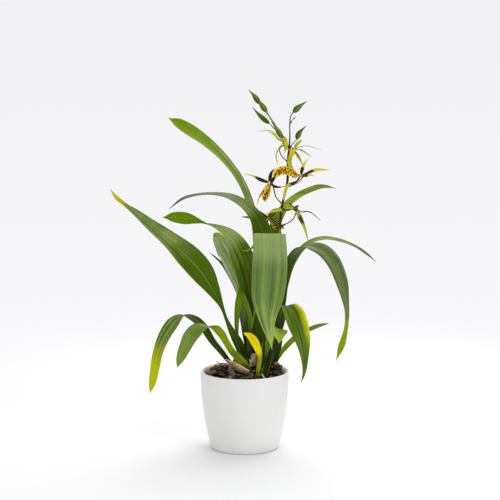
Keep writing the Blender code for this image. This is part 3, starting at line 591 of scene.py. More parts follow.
# What a blade looks like: its green, the deeper green between its veins, the colour that its tip turns
# and where along the blade that starts and is full, how yellow its margins are, how far up the foot is
# painted in shade, how softly that ends and the colour of that painted shade, how pale the midrib and the
# edge are, how much painted greyish sheen lies on it, and where along it an arched blade's crest gets a
# painted highlight, if anywhere.
PLAIN_LOOK = {
    "Green": FRESH, "Deep": DEEP, "Tip": FRESH, "Tip Start": 0.9, "Tip Full": 1.1, "Left Margin": 0.0,
    "Right Margin": 0.0, "Shade Reach": 0.3, "Shade Fade": 0.16, "Low Shade": (0.022, 0.045, 0.002, 1),
    "Midrib": 0.6, "Pale Edge": 0.15, "Painted Sheen": 0.25, "Crest Highlight": -1.0}
GREEN_SHEATH_LOOKS = {
    "pseudobulb_left": {
        "Green": (0.28, 0.40, 0.006, 1), "Deep": (0.15, 0.25, 0.002, 1), "Shade Reach": 0.40,
        "Shade Fade": 0.2, "Low Shade": (0.055, 0.080, 0.001, 1), "Midrib": 0.0, "Pale Edge": 1.0, "Painted Sheen": 0.0},
    # Painted shade: the young shoot's sheaths are nearly black green, where they stand deep among the
    # leaves.
    "young_shoot": {
        "Green": (0.035, 0.065, 0.002, 1), "Deep": DEEP_SHADE, "Shade Reach": 0.2, "Low Shade": DEEP_SHADE, "Midrib": 0.0,
        "Pale Edge": 0.8, "Painted Sheen": 0.0},
    "leaf_inner_folded": {
        "Green": (0.21, 0.33, 0.012, 1), "Deep": (0.11, 0.20, 0.003, 1), "Shade Reach": 0.5, "Low Shade": DEEP_SHADE,
        "Pale Edge": 1.0, "Painted Sheen": 0.0},
    # Painted shade: the right bulb's sheath is nearly black green, where it stands deep among the leaves.
    "pseudobulb_right": {
        "Green": (0.035, 0.065, 0.002, 1), "Deep": DEEP_SHADE, "Shade Reach": 0.4, "Low Shade": DEEP_SHADE, "Midrib": 0.0,
        "Pale Edge": 0.7, "Painted Sheen": 0.0},
}


def smooth_rows(rows, steps):
    """Join rows of numbers, the first three a place, by a smooth curve with extra rows between."""
    lengths = [math.dist(one[:3], two[:3]) for one, two in zip(rows, rows[1:])]
    chords = [[(b - a) / length for a, b in zip(one, two)]
              for one, two, length in zip(rows, rows[1:], lengths)]
    slopes = [chords[0]]
    for before, after, near, far in zip(chords, chords[1:], lengths, lengths[1:]):
        slopes.append([(a * far + b * near) / (near + far) for a, b in zip(before, after)])
    slopes.append(chords[-1])
    result = [list(rows[0])]
    for index, length in enumerate(lengths):
        for step in range(1, steps + 1):
            t = step / steps
            ease = t * t * (3 - 2 * t)
            leave = (t * t * t - 2 * t * t + t) * length
            arrive = (t * t * t - t * t) * length
            result.append([a + (b - a) * ease + m * leave + n * arrive for a, b, m, n in zip(
                rows[index], rows[index + 1], slopes[index], slopes[index + 1])])
    return result


def tangents(points):
    """Return the direction of travel at each point."""
    last = len(points) - 1
    return [(points[min(i + 1, last)] - points[max(i - 1, 0)]).normalized() for i in range(last + 1)]


def blade_frames(stations, heading, steps, facing=None):
    """Return each row of a blade: its centre, side, upper direction, half width and share of length.

    The side lies level across the heading, or square to a direction that the blade faces, then rolls.
    """
    rows = smooth_rows(stations, steps)
    centres = [Vector(row[:3]) * MM for row in rows]
    angle = math.radians(heading)
    level = Vector((-math.sin(angle), math.cos(angle), 0))
    travelled = [0]
    for one, two in zip(centres, centres[1:]):
        travelled.append(travelled[-1] + (two - one).length)
    frames = []
    for row, centre, along, distance in zip(rows, centres, tangents(centres), travelled):
        across = facing.cross(along) if facing else level - along * level.dot(along)
        side = across.normalized()
        side.rotate(Quaternion(along, math.radians(row[4])))
        half = max(row[3], NARROWEST_STATION) * MM / 2
        frames.append((centre, side, along.cross(side), half, distance / travelled[-1]))
    return frames


def columns_across(columns):
    """Return the columns of a blade, from -1 at one margin to 1 at the other."""
    return [column / columns * 2 - 1 for column in range(columns + 1)]


def rounded_tip(half, share, tip_share, narrowest):
    """Return a half width that is rounded off over the last share of the blade's length."""
    return max(half * min(1, math.sqrt(max(0, 1 - share) / tip_share)), narrowest)


def thicken(piece, thickness, offset):
    """Turn a single skin into a thin solid."""
    shell = piece.modifiers.new("thickness", "SOLIDIFY")
    shell.thickness = thickness
    shell.offset = offset
    bpy.ops.object.select_all(action="DESELECT")
    piece.select_set(True)
    bpy.context.view_layer.objects.active = piece
    bpy.ops.object.modifier_apply(modifier=shell.name)


def sheet_of(name, lines, thickness):
    """Skin lines of points, each with its share of the length, into a thin solid blade with a map."""
    columns = len(lines[0][0])
    points = [point for line, share in lines for point in line]
    faces = []
    for row in range(len(lines) - 1):
        for column in range(columns - 1):
            corner = row * columns + column
            faces.append((corner, corner + columns, corner + columns + 1, corner + 1))
    mesh = bpy.data.meshes.new(name)
    mesh.from_pydata(points, [], faces)
    uvs = mesh.uv_layers.new(name="blade")
    for loop in mesh.loops:
        row, column = divmod(loop.vertex_index, columns)
        uvs.data[loop.index].uv = (column / (columns - 1), lines[row][1])
    piece = mesh_piece(name, mesh)
    thicken(piece, thickness, 0)
    under = piece.data.attributes.new("under", "FLOAT", "POINT")
    for index in range(len(points), len(piece.data.vertices)):
        under.data[index].value = 1.0
    return piece


def leaf_piece(name, heading, fold, stations, pleats, depth):
    """Shape one leaf: a rounded fold at the midrib, soft pleats, and margins that wave a little."""
    draw = random.Random(name)
    waves = []
    for margin in range(2):
        waves.append((draw.uniform(2.5, 5.5), draw.uniform(0, math.tau), draw.uniform(0.015, 0.035)))
    lines = []
    for centre, side, upper, half, share in blade_frames(stations, heading, BLADE_STEPS):
        slope = math.radians(fold + BASE_FOLD * max(0, 1 - share / FOLD_REACH) ** 1.5)
        half = rounded_tip(half, share, TIP_SHARE, 0.1 * MM)
        pleat_depth = depth * MM * min(1, half / FULL_PLEATS_FROM)
        line = []
        for across in columns_across(BLADE_COLUMNS):
            reach = abs(across)
            count, phase, height = waves[across > 0]
            rounded = math.sqrt(reach * reach + RIB_SHARE * RIB_SHARE) - RIB_SHARE
            rise = half * rounded * math.sin(slope)
            rise += half * height * math.sin(math.tau * count * share + phase) * reach ** 3
            rise -= half * MARGIN_CURL * reach ** 6
            rise += pleat_depth * math.cos(math.tau * pleats * reach) * (1 - reach ** 8)
            line.append(centre + side * half * across * math.cos(slope * rounded) + upper * rise)
        lines.append((line, share))
    return sheet_of(name + "_blade", lines, BLADE_THICKNESS)


def blade_chart(tree):
    """Return how far across and how far along a blade each spot lies, from 0 to 1."""
    chart = add_node(tree, "SeparateXYZ", {0: add_node(tree, "UVMap", uv_map="blade").outputs[0]})
    return chart.outputs[0], chart.outputs[1]


def drawn_noise(tree, across, along, pace, detail, seed=0.0, roughness=0.5):
    """Return a cloudy value drawn out along a blade, with its own pace across and along."""
    drawn = add_node(tree, "CombineXYZ", {0: times(tree, across, pace[0]), 1: times(tree, along, pace[1]),
                                          2: seed})
    return noise(tree, drawn.outputs[0], 1, detail, roughness)


def leaf_flesh(group, given, across, along, bands, veins, clouds, pleat):
    """Colour the flesh: deep and fresh bands, light veins, dark streaks, painted shade in the pleat valleys,
    painted sheen and a painted highlight on the crest.
    """
    valley_shade = times(group, fade(group, pleat, -0.55, -1.0), fade(group, bands, 0.58, 0.40))
    streaks = fade(group, drawn_noise(group, across, along, (26.0, 2.2), 0, given["Seed"]), 0.57, 0.64)
    sheen_patches = fade(group, drawn_noise(group, across, along, (7.0, 3.4), 1, given["Seed"]), 0.50, 0.64)
    colour = mix(group, fade(group, bands, 0.40, 0.56), given["Deep"], given["Green"])
    lighter = mix(group, 1.0, colour, VEIN_TINT, "MULTIPLY")
    colour = mix(group, fade(group, veins, 0.50, 0.64), colour, lighter)
    darker = mix(group, 1.0, colour, STREAK_AND_VALLEY_SHADE, "MULTIPLY")
    # Painted shade in the valleys of the pleats.
    colour = mix(group, times(group, valley_shade, 0.55), colour, darker)
    colour = mix(group, times(group, streaks, 0.8), colour, darker)
    # Painted sheen: greyish patches that stand in for soft reflections on the leaf.
    colour = mix(group, times(group, sheen_patches, given["Painted Sheen"]), colour, PAINTED_SHEEN)
    colour = mix(group, times(group, fade(group, clouds, 0.42, 0.66), 0.5), colour, given["Deep"])
    # Painted highlight across the crest of an arched blade.
    from_crest = maths(group, "ABSOLUTE", maths(group, "SUBTRACT", along, given["Crest Highlight"]))
    return mix(group, times(group, fade(group, from_crest, 0.14, 0.03), 0.55), colour, CREST_HIGHLIGHT)


def leaf_yellowing(group, given, colour, signed, along, bands, clouds):
    """Turn the tip to its own colour and the margins yellow, each with a ragged border."""
    ragged = times(group, maths(group, "SUBTRACT", maths(group, "ADD", bands, clouds), 1.0), 0.22)
    station = maths(group, "ADD", along, ragged)
    colour = mix(group, fade(group, station, given["Tip Start"], given["Tip Full"]), colour, given["Tip"])
    edge = maths(group, "ADD", signed, times(group, ragged, 2.0))
    body = times(group, fade(group, along, 0.3, 0.42), rest_of(group, fade(group, along, 0.66, 0.80)))
    right = times(group, fade(group, edge, 0.28, 0.98), given["Right Margin"])
    left = times(group, fade(group, edge, -0.4, -0.8), given["Left Margin"])
    left = times(group, left, rest_of(group, fade(group, along, 0.50, 0.66)))
    return mix(group, times(group, maths(group, "ADD", left, right), body), colour, YELLOW_MARGIN)


def leaf_foot_shade(group, given, colour, along, veins):
    """Paint shade on the foot, where the blade stands in the shade of the others, and leave its veins a
    little lighter.
    """
    depth = maths(group, "DIVIDE", maths(group, "SUBTRACT", given["Shade Reach"], along), given["Shade Fade"])
    shaded_foot = mix(group, 0.95, colour, given["Low Shade"])
    lighter = mix(group, 1.0, given["Low Shade"], FOOT_VEIN_TINT, "MULTIPLY")
    shaded_foot = mix(group, fade(group, veins, 0.52, 0.66), shaded_foot, lighter)
    # Painted shade up the foot of the blade, fading out at the given reach.
    colour = mix(group, fade(group, depth, -1.0, 1.0), colour, shaded_foot)
    # Deeper painted shade at the very bottom of the blade.
    lowest = times(group, rest_of(group, fade(group, along, 0.02, 0.16)), 0.75)
    return mix(group, lowest, colour, mix(group, 1.0, given["Low Shade"], LOWEST_FOOT_SHADE, "MULTIPLY"))


def leaf_edges(group, given, colour, reach, rib, under):
    """Lighten the midrib and the margins, and dull the underside."""
    colour = mix(group, times(group, rib, given["Midrib"]), colour, mix(group, 0.35, colour, MIDRIB))
    margin = times(group, fade(group, reach, 0.88, 0.97), given["Pale Edge"])
    colour = mix(group, margin, colour, mix(group, 0.6, colour, PALE_EDGE))
    return mix(group, under, colour, mix(group, 1.0, colour, UNDERSIDE_TINT, "MULTIPLY"))


def leaf_group():
    """Build the surface that every blade shares. Its inputs are a look, the pleats and a seed."""
    group = bpy.data.node_groups.new("leaf surface", "ShaderNodeTree")
    for name, value in {**PLAIN_LOOK, "Pleats": 0.0, "Seed": 0.0}.items():
        kind = "Color" if isinstance(value, tuple) else "Float"
        group.interface.new_socket(name=name, in_out="INPUT", socket_type="NodeSocket" + kind)
    for name, kind in (("Color", "Color"), ("Roughness", "Float"), ("Height", "Float")):
        group.interface.new_socket(name=name, in_out="OUTPUT", socket_type="NodeSocket" + kind)
    given = group.nodes.new("NodeGroupInput").outputs
    result = group.nodes.new("NodeGroupOutput").inputs
    across, along = blade_chart(group)
    signed = times(group, maths(group, "SUBTRACT", across, 0.5), 2.0)
    reach = maths(group, "ABSOLUTE", signed)
    bands = drawn_noise(group, across, along, (17.0, 1.1), 1, given["Seed"])
    veins = drawn_noise(group, across, along, (38.0, 1.5), 1, given["Seed"])
    clouds = noise(group, place(group), 38, 3)
    pleat = maths(group, "COSINE", times(group, times(group, signed, given["Pleats"]), math.tau))
    rib = rest_of(group, fade(group, reach, 0.014, 0.075))
    under = add_node(group, "Attribute", attribute_name="under").outputs["Fac"]
    colour = leaf_flesh(group, given, across, along, bands, veins, clouds, pleat)
    colour = leaf_yellowing(group, given, colour, signed, along, bands, clouds)
    colour = leaf_foot_shade(group, given, colour, along, veins)
    group.links.new(leaf_edges(group, given, colour, reach, rib, under), result["Color"])
    rough = add_node(group, "MapRange", {"Value": maths(group, "ADD", veins, under), "From Max": 2.0,
                                         "To Min": 0.34, "To Max": 0.62})
    group.links.new(rough.outputs[0], result["Roughness"])
    relief = maths(group, "ADD", times(group, veins, 0.6), times(group, pleat, 0.3))
    group.links.new(maths(group, "SUBTRACT", relief, rib), result["Height"])
    return group


def leaf_material(name, look, group, pleats, seed):
    """Waxy leaf skin with this leaf's own look."""
    material, tree, shader = new_shader(name + " skin")
    surface = tree.nodes.new("ShaderNodeGroup")
    surface.node_tree = group
    for key, value in {**PLAIN_LOOK, **look, "Pleats": pleats, "Seed": seed * 3.7}.items():
        surface.inputs[key].default_value = value
    tree.links.new(surface.outputs["Color"], shader.inputs["Base Color"])
    tree.links.new(surface.outputs["Roughness"], shader.inputs["Roughness"])
    emboss_shader(tree, shader, surface.outputs["Height"], 0.4, 0.4 * MM)
    shader.inputs["Specular IOR Level"].default_value = 0.045
    return material


leaf_surface = leaf_group()
pleats, depth = GREEN_SHEATH_PLEATS
for number, (node, sheaths) in enumerate(GREEN_SHEATHS.items(), GREEN_SHEATH_SEED):
    skin = leaf_material(node + "_sheath", GREEN_SHEATH_LOOKS[node], leaf_surface, pleats, number)
    for count, (heading, fold, stations) in enumerate(sheaths, 1):
        sheath = leaf_piece("%s_sheath_%d" % (node, count), heading, fold, stations, pleats, depth)
        sheath.data.materials.append(skin)
        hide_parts(node)
        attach(sheath, "root")


# Leaves: seventeen strap leaves, most of them long, each folded at its midrib, with parallel veins.
# They grow from the tops and sides of the bulbs, arch over under their own weight, and yellow with age.

# Each leaf: heading, fold and stations from base to tip, as for the green sheaths.
LEAVES = {
    "leaf_tall_left": (180, 30, (
        (10, 20, 148, 8, -85), (3, 25, 178, 9, -85), (1, 28, 207, 10, -80), (8, 30, 238, 13, -75),
        (16, 34, 279, 15, -70), (18, 39, 318, 15, -65), (15, 44, 352, 15, -62), (7.5, 48, 383, 15, -60),
        (-6.5, 53, 417, 15, -60), (-30, 62, 449.5, 16, -58), (-63, 71, 480, 21, -58),
        (-96.5, 79, 502.5, 22.5, -60), (-112.5, 83, 512.5, 15, -60), (-124, 86, 519, 1, -60))),
    "leaf_arching_left": (180, 10, (
        (9, 11, 152, 8, -85), (5, 12, 176, 10, -85), (5, 12, 205, 12, -85), (11, 13, 234, 21, -80),
        (23, 15, 273, 29, -78), (30, 17, 313, 31, -76), (28, 18, 340, 31, -70), (18, 15, 363, 27, -52),
        (3, 9, 381, 25, -36), (-16, 1, 394, 25, -22), (-41, -8, 402, 24, -8), (-69, -16, 403, 19, -6),
        (-95, -23, 397, 13, -12), (-117, -28, 381.5, 2, -20))),
    "leaf_front_fold": (-90, 1, (
        (20, 2, 144, 13, 0), (22, -9, 172, 21, 0), (26, -14, 205, 27, 0), (32, -18, 243, 38, 0),
        (36, -24, 288, 46, 0), (38, -31, 325, 50, 0), (38.5, -36, 340, 50, 0), (38.5, -41, 345, 50, 0),
        (38.5, -46, 340, 50, 0), (39, -50, 321, 52, 0), (38, -56, 283, 54, 0), (35, -61, 245, 47, 0),
        (35, -64, 215, 26, 0), (39, -66, 189, 11, 0), (42, -67, 169, 1, 0))),
    "leaf_twisted_left": (190, 10, (
        (11, 4, 150, 8, -80), (9, -1, 172, 10, -80), (10, -5, 195, 13, -78), (9, -9, 220, 19, -76),
        (7, -13, 250, 29, -76), (2, -18, 283, 37, -76), (-8.5, -24, 315, 38, -72),
        (-22.5, -30, 337.5, 31, -55), (-37, -36, 350.5, 23, -28), (-53, -41, 358, 19, -4),
        (-69, -45, 363, 19, 24), (-91, -49, 369, 21, 66), (-109, -52, 371.5, 15.5, 78),
        (-126, -54, 371.5, 1, 80))),
    "leaf_blunt_left": (175, 10, (
        (7, 8, 138, 7, -80), (1.5, 10, 172, 9, -80), (-3, 10, 204, 10, -80), (-6, 8, 226, 13, -80),
        (-6, 6, 251, 17, -80), (-16, 3, 280, 23, -80), (-28.5, 2, 307, 23, -78), (-39, 4, 326, 20, -70),
        (-44, 9, 335, 15, -62), (-44, 16, 329, 10, -60), (-43, 22, 317, 8, -70), (-41, 26, 300, 1, -80))),
    "leaf_thin_behind": (170, 10, (
        (10, 16, 140, 7, -80), (3, 19, 184, 8, -80), (-1, 20, 220, 9, -80), (-10, 20, 249, 11, -75),
        (-24, 19, 274, 8, -65), (-38, 18, 293, 4, -60), (-56, 17, 309, 1, -60))),
    "leaf_inner_folded": (150, 10, (
        (-3, -2, 140, 6, -80), (-7, -3, 157, 5, -80), (-11, -4, 173, 5, -80), (-12.5, -4, 191, 6.5, -78),
        (-12, -4, 212, 9, -74), (-9, -5, 236, 11, -70), (-3, -6, 257, 11, -70), (6, -6, 277, 1, -70))),
    "leaf_long_left": (190, 18, (
        (-3, -4, 142, 18, -70), (-12.5, -9, 168, 20.5, -68), (-22, -12, 189, 12.5, -68),
        (-29, -13, 207, 6, -74), (-35.5, -15, 226, 7, -76), (-47.5, -17, 250.5, 21, -76),
        (-66, -22, 281, 39, -76), (-87.5, -28, 306.5, 41, -72), (-115.5, -35, 334, 29, -70),
        (-144.5, -42, 358.5, 19.5, -68), (-167, -47, 378.5, 11, -70), (-182, -49, 390, 6, -70),
        (-194, -51, 400, 7, -65), (-205, -52, 415, 2, -60))),
    "leaf_low_long_left": (200, 10, (
        (-14, -4, 127, 9, 55), (-26, -4, 138, 10, 50), (-37, -7, 153, 11, 50), (-51, -13, 172, 12, 52),
        (-65, -21, 196, 15, 48), (-80, -31, 211.5, 18, 34), (-96, -41, 218, 20, 4),
        (-109.5, -49, 208, 21, -40), (-122, -56, 191, 19, -64), (-132.5, -62, 166, 16, -74),
        (-138.5, -67, 136, 14, -76), (-142.5, -69, 114, 9.5, -76), (-145.5, -70, 100.5, 1, -78))),
    "leaf_low_short_left": (205, 10, (
        (-8, -11, 139, 11, 60), (-19, -20, 155, 12, 58), (-28, -25, 171, 11, 58), (-37, -30, 187, 14, 50),
        (-47, -35, 197.5, 18, 26), (-58, -41, 201, 21, 0), (-70.5, -46, 198, 24, -28),
        (-82.5, -52, 188, 23, -58), (-91.5, -58, 172, 19, -74), (-99, -62, 154, 13, -78),
        (-104, -64, 140, 1, -80))),
    "leaf_young_yellow": (215, 10, (
        (18, -27, 119, 7, -80), (20.5, -28, 131, 9, -85), (23, -29, 143, 8, -90), (23.5, -31, 153, 8, -95),
        (20.5, -33, 163, 11, -100), (15, -36, 176, 13, -105), (8, -42, 186, 10, -105),
        (-2, -48, 192, 1, -105))),
    "leaf_young_folded": (-80, 10, (
        (28, -21, 130, 5, 0), (30, -20, 152, 11, -10), (34, -18, 169, 14, -18), (42, -16, 184, 19, -24),
        (51, -18, 193, 26, -24), (54, -24, 193, 28, -22), (54, -29, 187, 22, -12), (54, -31, 179, 10, 0),
        (53, -32, 172, 1, 0))),
    "leaf_yellow_edged": (-60, 10, (
        (43, 1, 127, 10, 20), (48, -3, 153, 12, 15), (54, -5, 183, 14, 10), (58, -8, 206, 18, 5),
        (62, -13, 224, 24, 0), (67, -21, 230, 29, 0), (73.5, -31, 224, 34, 6), (82, -42, 204, 34, 12),
        (89, -50, 181, 25, 16), (92, -56, 159, 14, 20), (92, -58, 134, 6, 20), (87, -58, 114, 1, 20))),
    "leaf_long_right": (-30, 10, (
        (45, 8, 130, 9, -70), (53, 9, 160, 12, -70), (54, 8, 199, 13, -68), (58, 4, 235, 15, -66),
        (63, -3, 269, 14, -60), (71.5, -12, 299, 16, -44), (88, -24, 320, 20, -14), (98, -33, 325, 20, 12),
        (107, -40, 324.5, 20, 34), (120, -48, 320, 21.5, 50), (135, -59, 305, 22, 60),
        (146.5, -68, 279, 19.5, 60), (152, -74, 253, 16, 24), (155, -78, 228, 13, 4),
        (153, -80, 201, 11, 10), (147, -80, 177, 10, 50), (139, -79, 153, 1, 70))),
    "leaf_thin_right": (20, 10, (
        (38, 12, 136, 7, 80), (47, 20, 171, 9, 70), (55, 28, 215, 12, 60), (63, 36, 254, 15, 45),
        (74, 44, 287, 16, 32), (89, 52, 307.5, 14, 22), (108, 61, 321.5, 11.5, 20),
        (129, 69, 325.5, 11, 24), (154, 76, 321, 10.5, 28), (179, 82, 311, 9.5, 30), (198, 86, 298, 9, 30),
        (214, 89, 284.5, 2.5, 30))),
    "leaf_upper_right": (30, 10, (
        (21, 19, 146, 8, 80), (30, 31, 206, 12, 76), (36, 45, 272, 15, 66), (44, 58, 327, 17, 55),
        (54, 68, 360, 17, 46), (67, 77, 378, 14, 30), (86, 86, 392.5, 14.5, 24), (107, 94, 402, 15, 22),
        (124, 101, 406.5, 13, 25), (138, 105, 405.5, 8, 25), (149, 108, 402.5, 1, 25))),
    "leaf_low_right": (25, 10, (
        (46, 13, 128, 6, 70), (58, 15, 149, 8, 65), (69, 19, 161, 9, 62), (84, 27, 173, 9, 56),
        (104, 37, 182, 8, 40), (121, 45, 187, 7, 36), (136, 52, 189, 1, 30))),
}
# How many pleats each half of a leaf has, and how deep they are in millimetres.
LEAF_PLEATS = {"leaf_front_fold": (4.5, 0.11), "leaf_long_left": (4, 0.24), "leaf_twisted_left": (4, 0.28)}
PLAIN_PLEATS = (4, 0.12)

# How each leaf differs from the plain look. The young yellow leaf hardly has any green.
LEAF_LOOKS = {
    "leaf_tall_left": {
        "Green": (0.40, 0.50, 0.170, 1), "Deep": (0.17, 0.25, 0.035, 1), "Tip": (0.19, 0.31, 0.001, 1),
        "Tip Start": 0.6, "Tip Full": 0.95, "Painted Sheen": 0.0},
    "leaf_arching_left": {
        "Green": (0.20, 0.28, 0.060, 1), "Deep": (0.095, 0.15, 0.020, 1), "Tip": (0.10, 0.13, 0.07, 1),
        "Tip Start": 0.66, "Tip Full": 0.92, "Shade Reach": 0.60, "Shade Fade": 0.03,
        "Low Shade": (0.042, 0.088, 0.0005, 1), "Midrib": 0.2, "Painted Sheen": 0.4},
    "leaf_front_fold": {
        "Green": (0.172, 0.270, 0.065, 1), "Deep": (0.118, 0.195, 0.038, 1), "Tip": (0.35, 0.48, 0.11, 1),
        "Tip Start": 0.80, "Tip Full": 0.98, "Shade Reach": 0.40, "Shade Fade": 0.06,
        "Low Shade": (0.045, 0.095, 0.001, 1), "Midrib": 0.0, "Pale Edge": 0.4, "Painted Sheen": 0.15, "Crest Highlight": 0.56},
    "leaf_twisted_left": {
        "Green": (0.15, 0.235, 0.012, 1), "Deep": (0.050, 0.105, 0.001, 1), "Tip": (0.15, 0.28, 0.001, 1),
        "Tip Start": 0.7, "Tip Full": 0.8, "Shade Reach": 0.40, "Shade Fade": 0.12, "Low Shade": SHADE,
        "Midrib": 0.5, "Painted Sheen": 0.15, "Crest Highlight": 0.68},
    # Painted light: the blunt leaf's greens are far paler than a leaf's own, to make it look brightly lit.
    "leaf_blunt_left": {
        "Green": (0.58, 0.68, 0.40, 1), "Deep": (0.36, 0.47, 0.16, 1), "Tip": LIME, "Tip Start": 0.76,
        "Tip Full": 0.86, "Shade Reach": 0.30, "Low Shade": (0.05, 0.09, 0.002, 1), "Left Margin": 0.7,
        "Pale Edge": 0.2, "Painted Sheen": 0.3},
    "leaf_thin_behind": {
        "Green": DULL, "Deep": (0.03, 0.06, 0.004, 1), "Shade Reach": 0.6, "Low Shade": DEEP_SHADE, "Painted Sheen": 0.0},
    "leaf_inner_folded": {
        "Green": (0.21, 0.34, 0.002, 1), "Deep": (0.11, 0.21, 0.001, 1), "Low Shade": SHADE, "Pale Edge": 0.8,
        "Painted Sheen": 0.0},
    "leaf_long_left": {
        "Green": (0.26, 0.355, 0.080, 1), "Deep": (0.070, 0.135, 0.002, 1), "Tip": (0.62, 0.56, 0.002, 1),
        "Tip Start": 0.895, "Tip Full": 0.93, "Shade Reach": 0.60, "Shade Fade": 0.10, "Low Shade": SHADE,
        "Midrib": 0.9, "Painted Sheen": 0.3},
    "leaf_low_long_left": {
        "Green": (0.17, 0.26, 0.048, 1), "Deep": (0.078, 0.140, 0.006, 1), "Tip": (0.45, 0.50, 0.001, 1),
        "Tip Start": 0.66, "Tip Full": 0.86, "Shade Reach": 0.42, "Low Shade": (0.034, 0.072, 0.001, 1)},
    # Painted light: the foot of this leaf is a bright lime, where light shines through its rising part.
    "leaf_low_short_left": {
        "Green": (0.21, 0.32, 0.05, 1), "Deep": (0.11, 0.20, 0.010, 1), "Shade Reach": 0.46,
        "Shade Fade": 0.08, "Low Shade": (0.27, 0.37, 0.001, 1), "Midrib": 0.2},
    "leaf_young_yellow": {
        "Green": (0.92, 0.82, 0.002, 1), "Deep": (0.90, 0.80, 0.002, 1), "Tip": (0.94, 0.84, 0.002, 1),
        "Shade Reach": 0.42, "Shade Fade": 0.1, "Low Shade": (0.24, 0.32, 0.008, 1), "Pale Edge": 0.3, "Painted Sheen": 0.0},
    "leaf_young_folded": {
        "Green": (0.26, 0.40, 0.008, 1), "Deep": (0.14, 0.26, 0.003, 1), "Tip": (0.52, 0.64, 0.06, 1),
        "Tip Start": 0.55, "Tip Full": 0.8, "Shade Reach": 0.26, "Shade Fade": 0.06, "Low Shade": DEEP_SHADE,
        "Midrib": 0.2, "Pale Edge": 0.8, "Painted Sheen": 0.0},
    "leaf_yellow_edged": {
        "Green": (0.11, 0.19, 0.006, 1), "Deep": (0.060, 0.12, 0.001, 1), "Tip": (0.22, 0.30, 0.045, 1),
        "Left Margin": 0.15, "Right Margin": 1.0, "Shade Reach": 0.34, "Low Shade": DEEP_SHADE, "Midrib": 0.1,
        "Painted Sheen": 0.2},
    "leaf_long_right": {
        "Green": (0.205, 0.268, 0.100, 1), "Deep": (0.098, 0.148, 0.036, 1), "Tip": (0.22, 0.34, 0.002, 1),
        "Tip Start": 0.78, "Tip Full": 0.85, "Shade Reach": 0.43, "Shade Fade": 0.04,
        "Low Shade": (0.042, 0.085, 0.001, 1), "Midrib": 0.15, "Painted Sheen": 0.4},
    "leaf_thin_right": {
        "Green": (0.21, 0.31, 0.065, 1), "Deep": DULL, "Tip": (0.10, 0.14, 0.05, 1), "Tip Start": 0.8,
        "Tip Full": 0.95, "Painted Sheen": 0.4},
    "leaf_upper_right": {
        "Green": (0.30, 0.39, 0.025, 1), "Deep": (0.16, 0.24, 0.005, 1), "Tip": (0.09, 0.16, 0.002, 1),
        "Tip Start": 0.8, "Tip Full": 0.9, "Midrib": 0.2, "Shade Reach": 0.66, "Shade Fade": 0.05,
        "Low Shade": (0.06, 0.12, 0.001, 1), "Painted Sheen": 0.1},
    "leaf_low_right": {
        "Green": LIME, "Deep": FRESH, "Tip": (0.12, 0.19, 0.03, 1), "Tip Start": 0.5, "Tip Full": 0.7,
        "Shade Reach": 0.0, "Painted Sheen": 0.1},
}

for number, (name, (heading, fold, stations)) in enumerate(LEAVES.items()):
    pleats, depth = LEAF_PLEATS.get(name, PLAIN_PLEATS)
    leaf = leaf_piece(name, heading, fold, stations, pleats, depth)
    leaf.data.materials.append(leaf_material(name, LEAF_LOOKS[name], leaf_surface, pleats, number))
    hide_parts(name)
    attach(leaf, "root")


# Dry sheaths: the papery remains of old leaf bases that still wrap the foot of two bulbs.
# They are thin, brittle and ribbed with fibres, crumpled, and torn at their margins.

# Each sheath: heading and stations from base to tip, as for the green sheaths.
DRY_SHEATHS = {
    "dry_sheath_left": (175, (
        (7, -29, 126.5, 4.5, -75), (-4, -30, 130.5, 9, -72), (-13, -27, 135, 10.5, -68),
        (-22, -22, 140, 7, -64), (-32, -16, 144.5, 1.5, -60))),
    "dry_sheath_centre": (-80, (
        (16, -5, 131, 11, 0), (16, -7, 135, 17, 0), (16.5, -7, 141, 17, -4), (18, -6, 147, 12, -10),
        (19.5, -5, 150, 6, -14))),
}
DRY_SHEATH_STEPS = 12
DRY_SHEATH_COLUMNS = 16
DRY_SHEATH_CURL = 0.5
DRY_SHEATH_BULGE = 0.5
DRY_SHEATH_SPREAD = 0.72
DRY_SHEATH_RIB = 0.18 * MM
DRY_SHEATH_RIB_PACE = 28
DRY_SHEATH_CRUMPLE = 0.1
DRY_SHEATH_TEAR = 0.12
PAPER_THICKNESS = 0.35 * MM
# Each paper: the colour of its dark fibres and of its light ones.
PAPERS = {
    "dry_sheath_left": ((0.17, 0.092, 0.032, 1), (0.86, 0.61, 0.30, 1)),
    "dry_sheath_centre": ((0.46, 0.27, 0.12, 1), (0.92, 0.66, 0.36, 1)),
}
PAPER_STAIN = (0.12, 0.07, 0.03, 1)
PAPER_STRAW_EDGE = (0.92, 0.80, 0.50, 1)
PAPER_SHADE_BELOW = (0.10, 0.06, 0.025, 1)


def dry_sheath_piece(name, heading, stations):
    """Curl one sheath round its middle line, with ribs, crumples and torn margins."""
    draw = random.Random(name)
    lines = []
    for centre, side, upper, half, share in blade_frames(stations, heading, DRY_SHEATH_STEPS):
        line = []
        for across in columns_across(DRY_SHEATH_COLUMNS):
            bend = across * DRY_SHEATH_CURL * math.pi / 2
            rise = -half * (1 - math.cos(bend)) / DRY_SHEATH_CURL * DRY_SHEATH_BULGE
            rise += DRY_SHEATH_RIB * math.cos(across * DRY_SHEATH_RIB_PACE)
            rise += draw.uniform(-DRY_SHEATH_CRUMPLE, DRY_SHEATH_CRUMPLE) * MM
            tear = draw.uniform(-DRY_SHEATH_TEAR, DRY_SHEATH_TEAR) if abs(across) == 1 else 0
            reach = half * (1 + tear) * math.sin(bend) / DRY_SHEATH_CURL * DRY_SHEATH_SPREAD
            line.append(centre + side * reach + upper * rise)
        lines.append((line, share))
    return sheet_of(name + "_papery", lines, PAPER_THICKNESS)


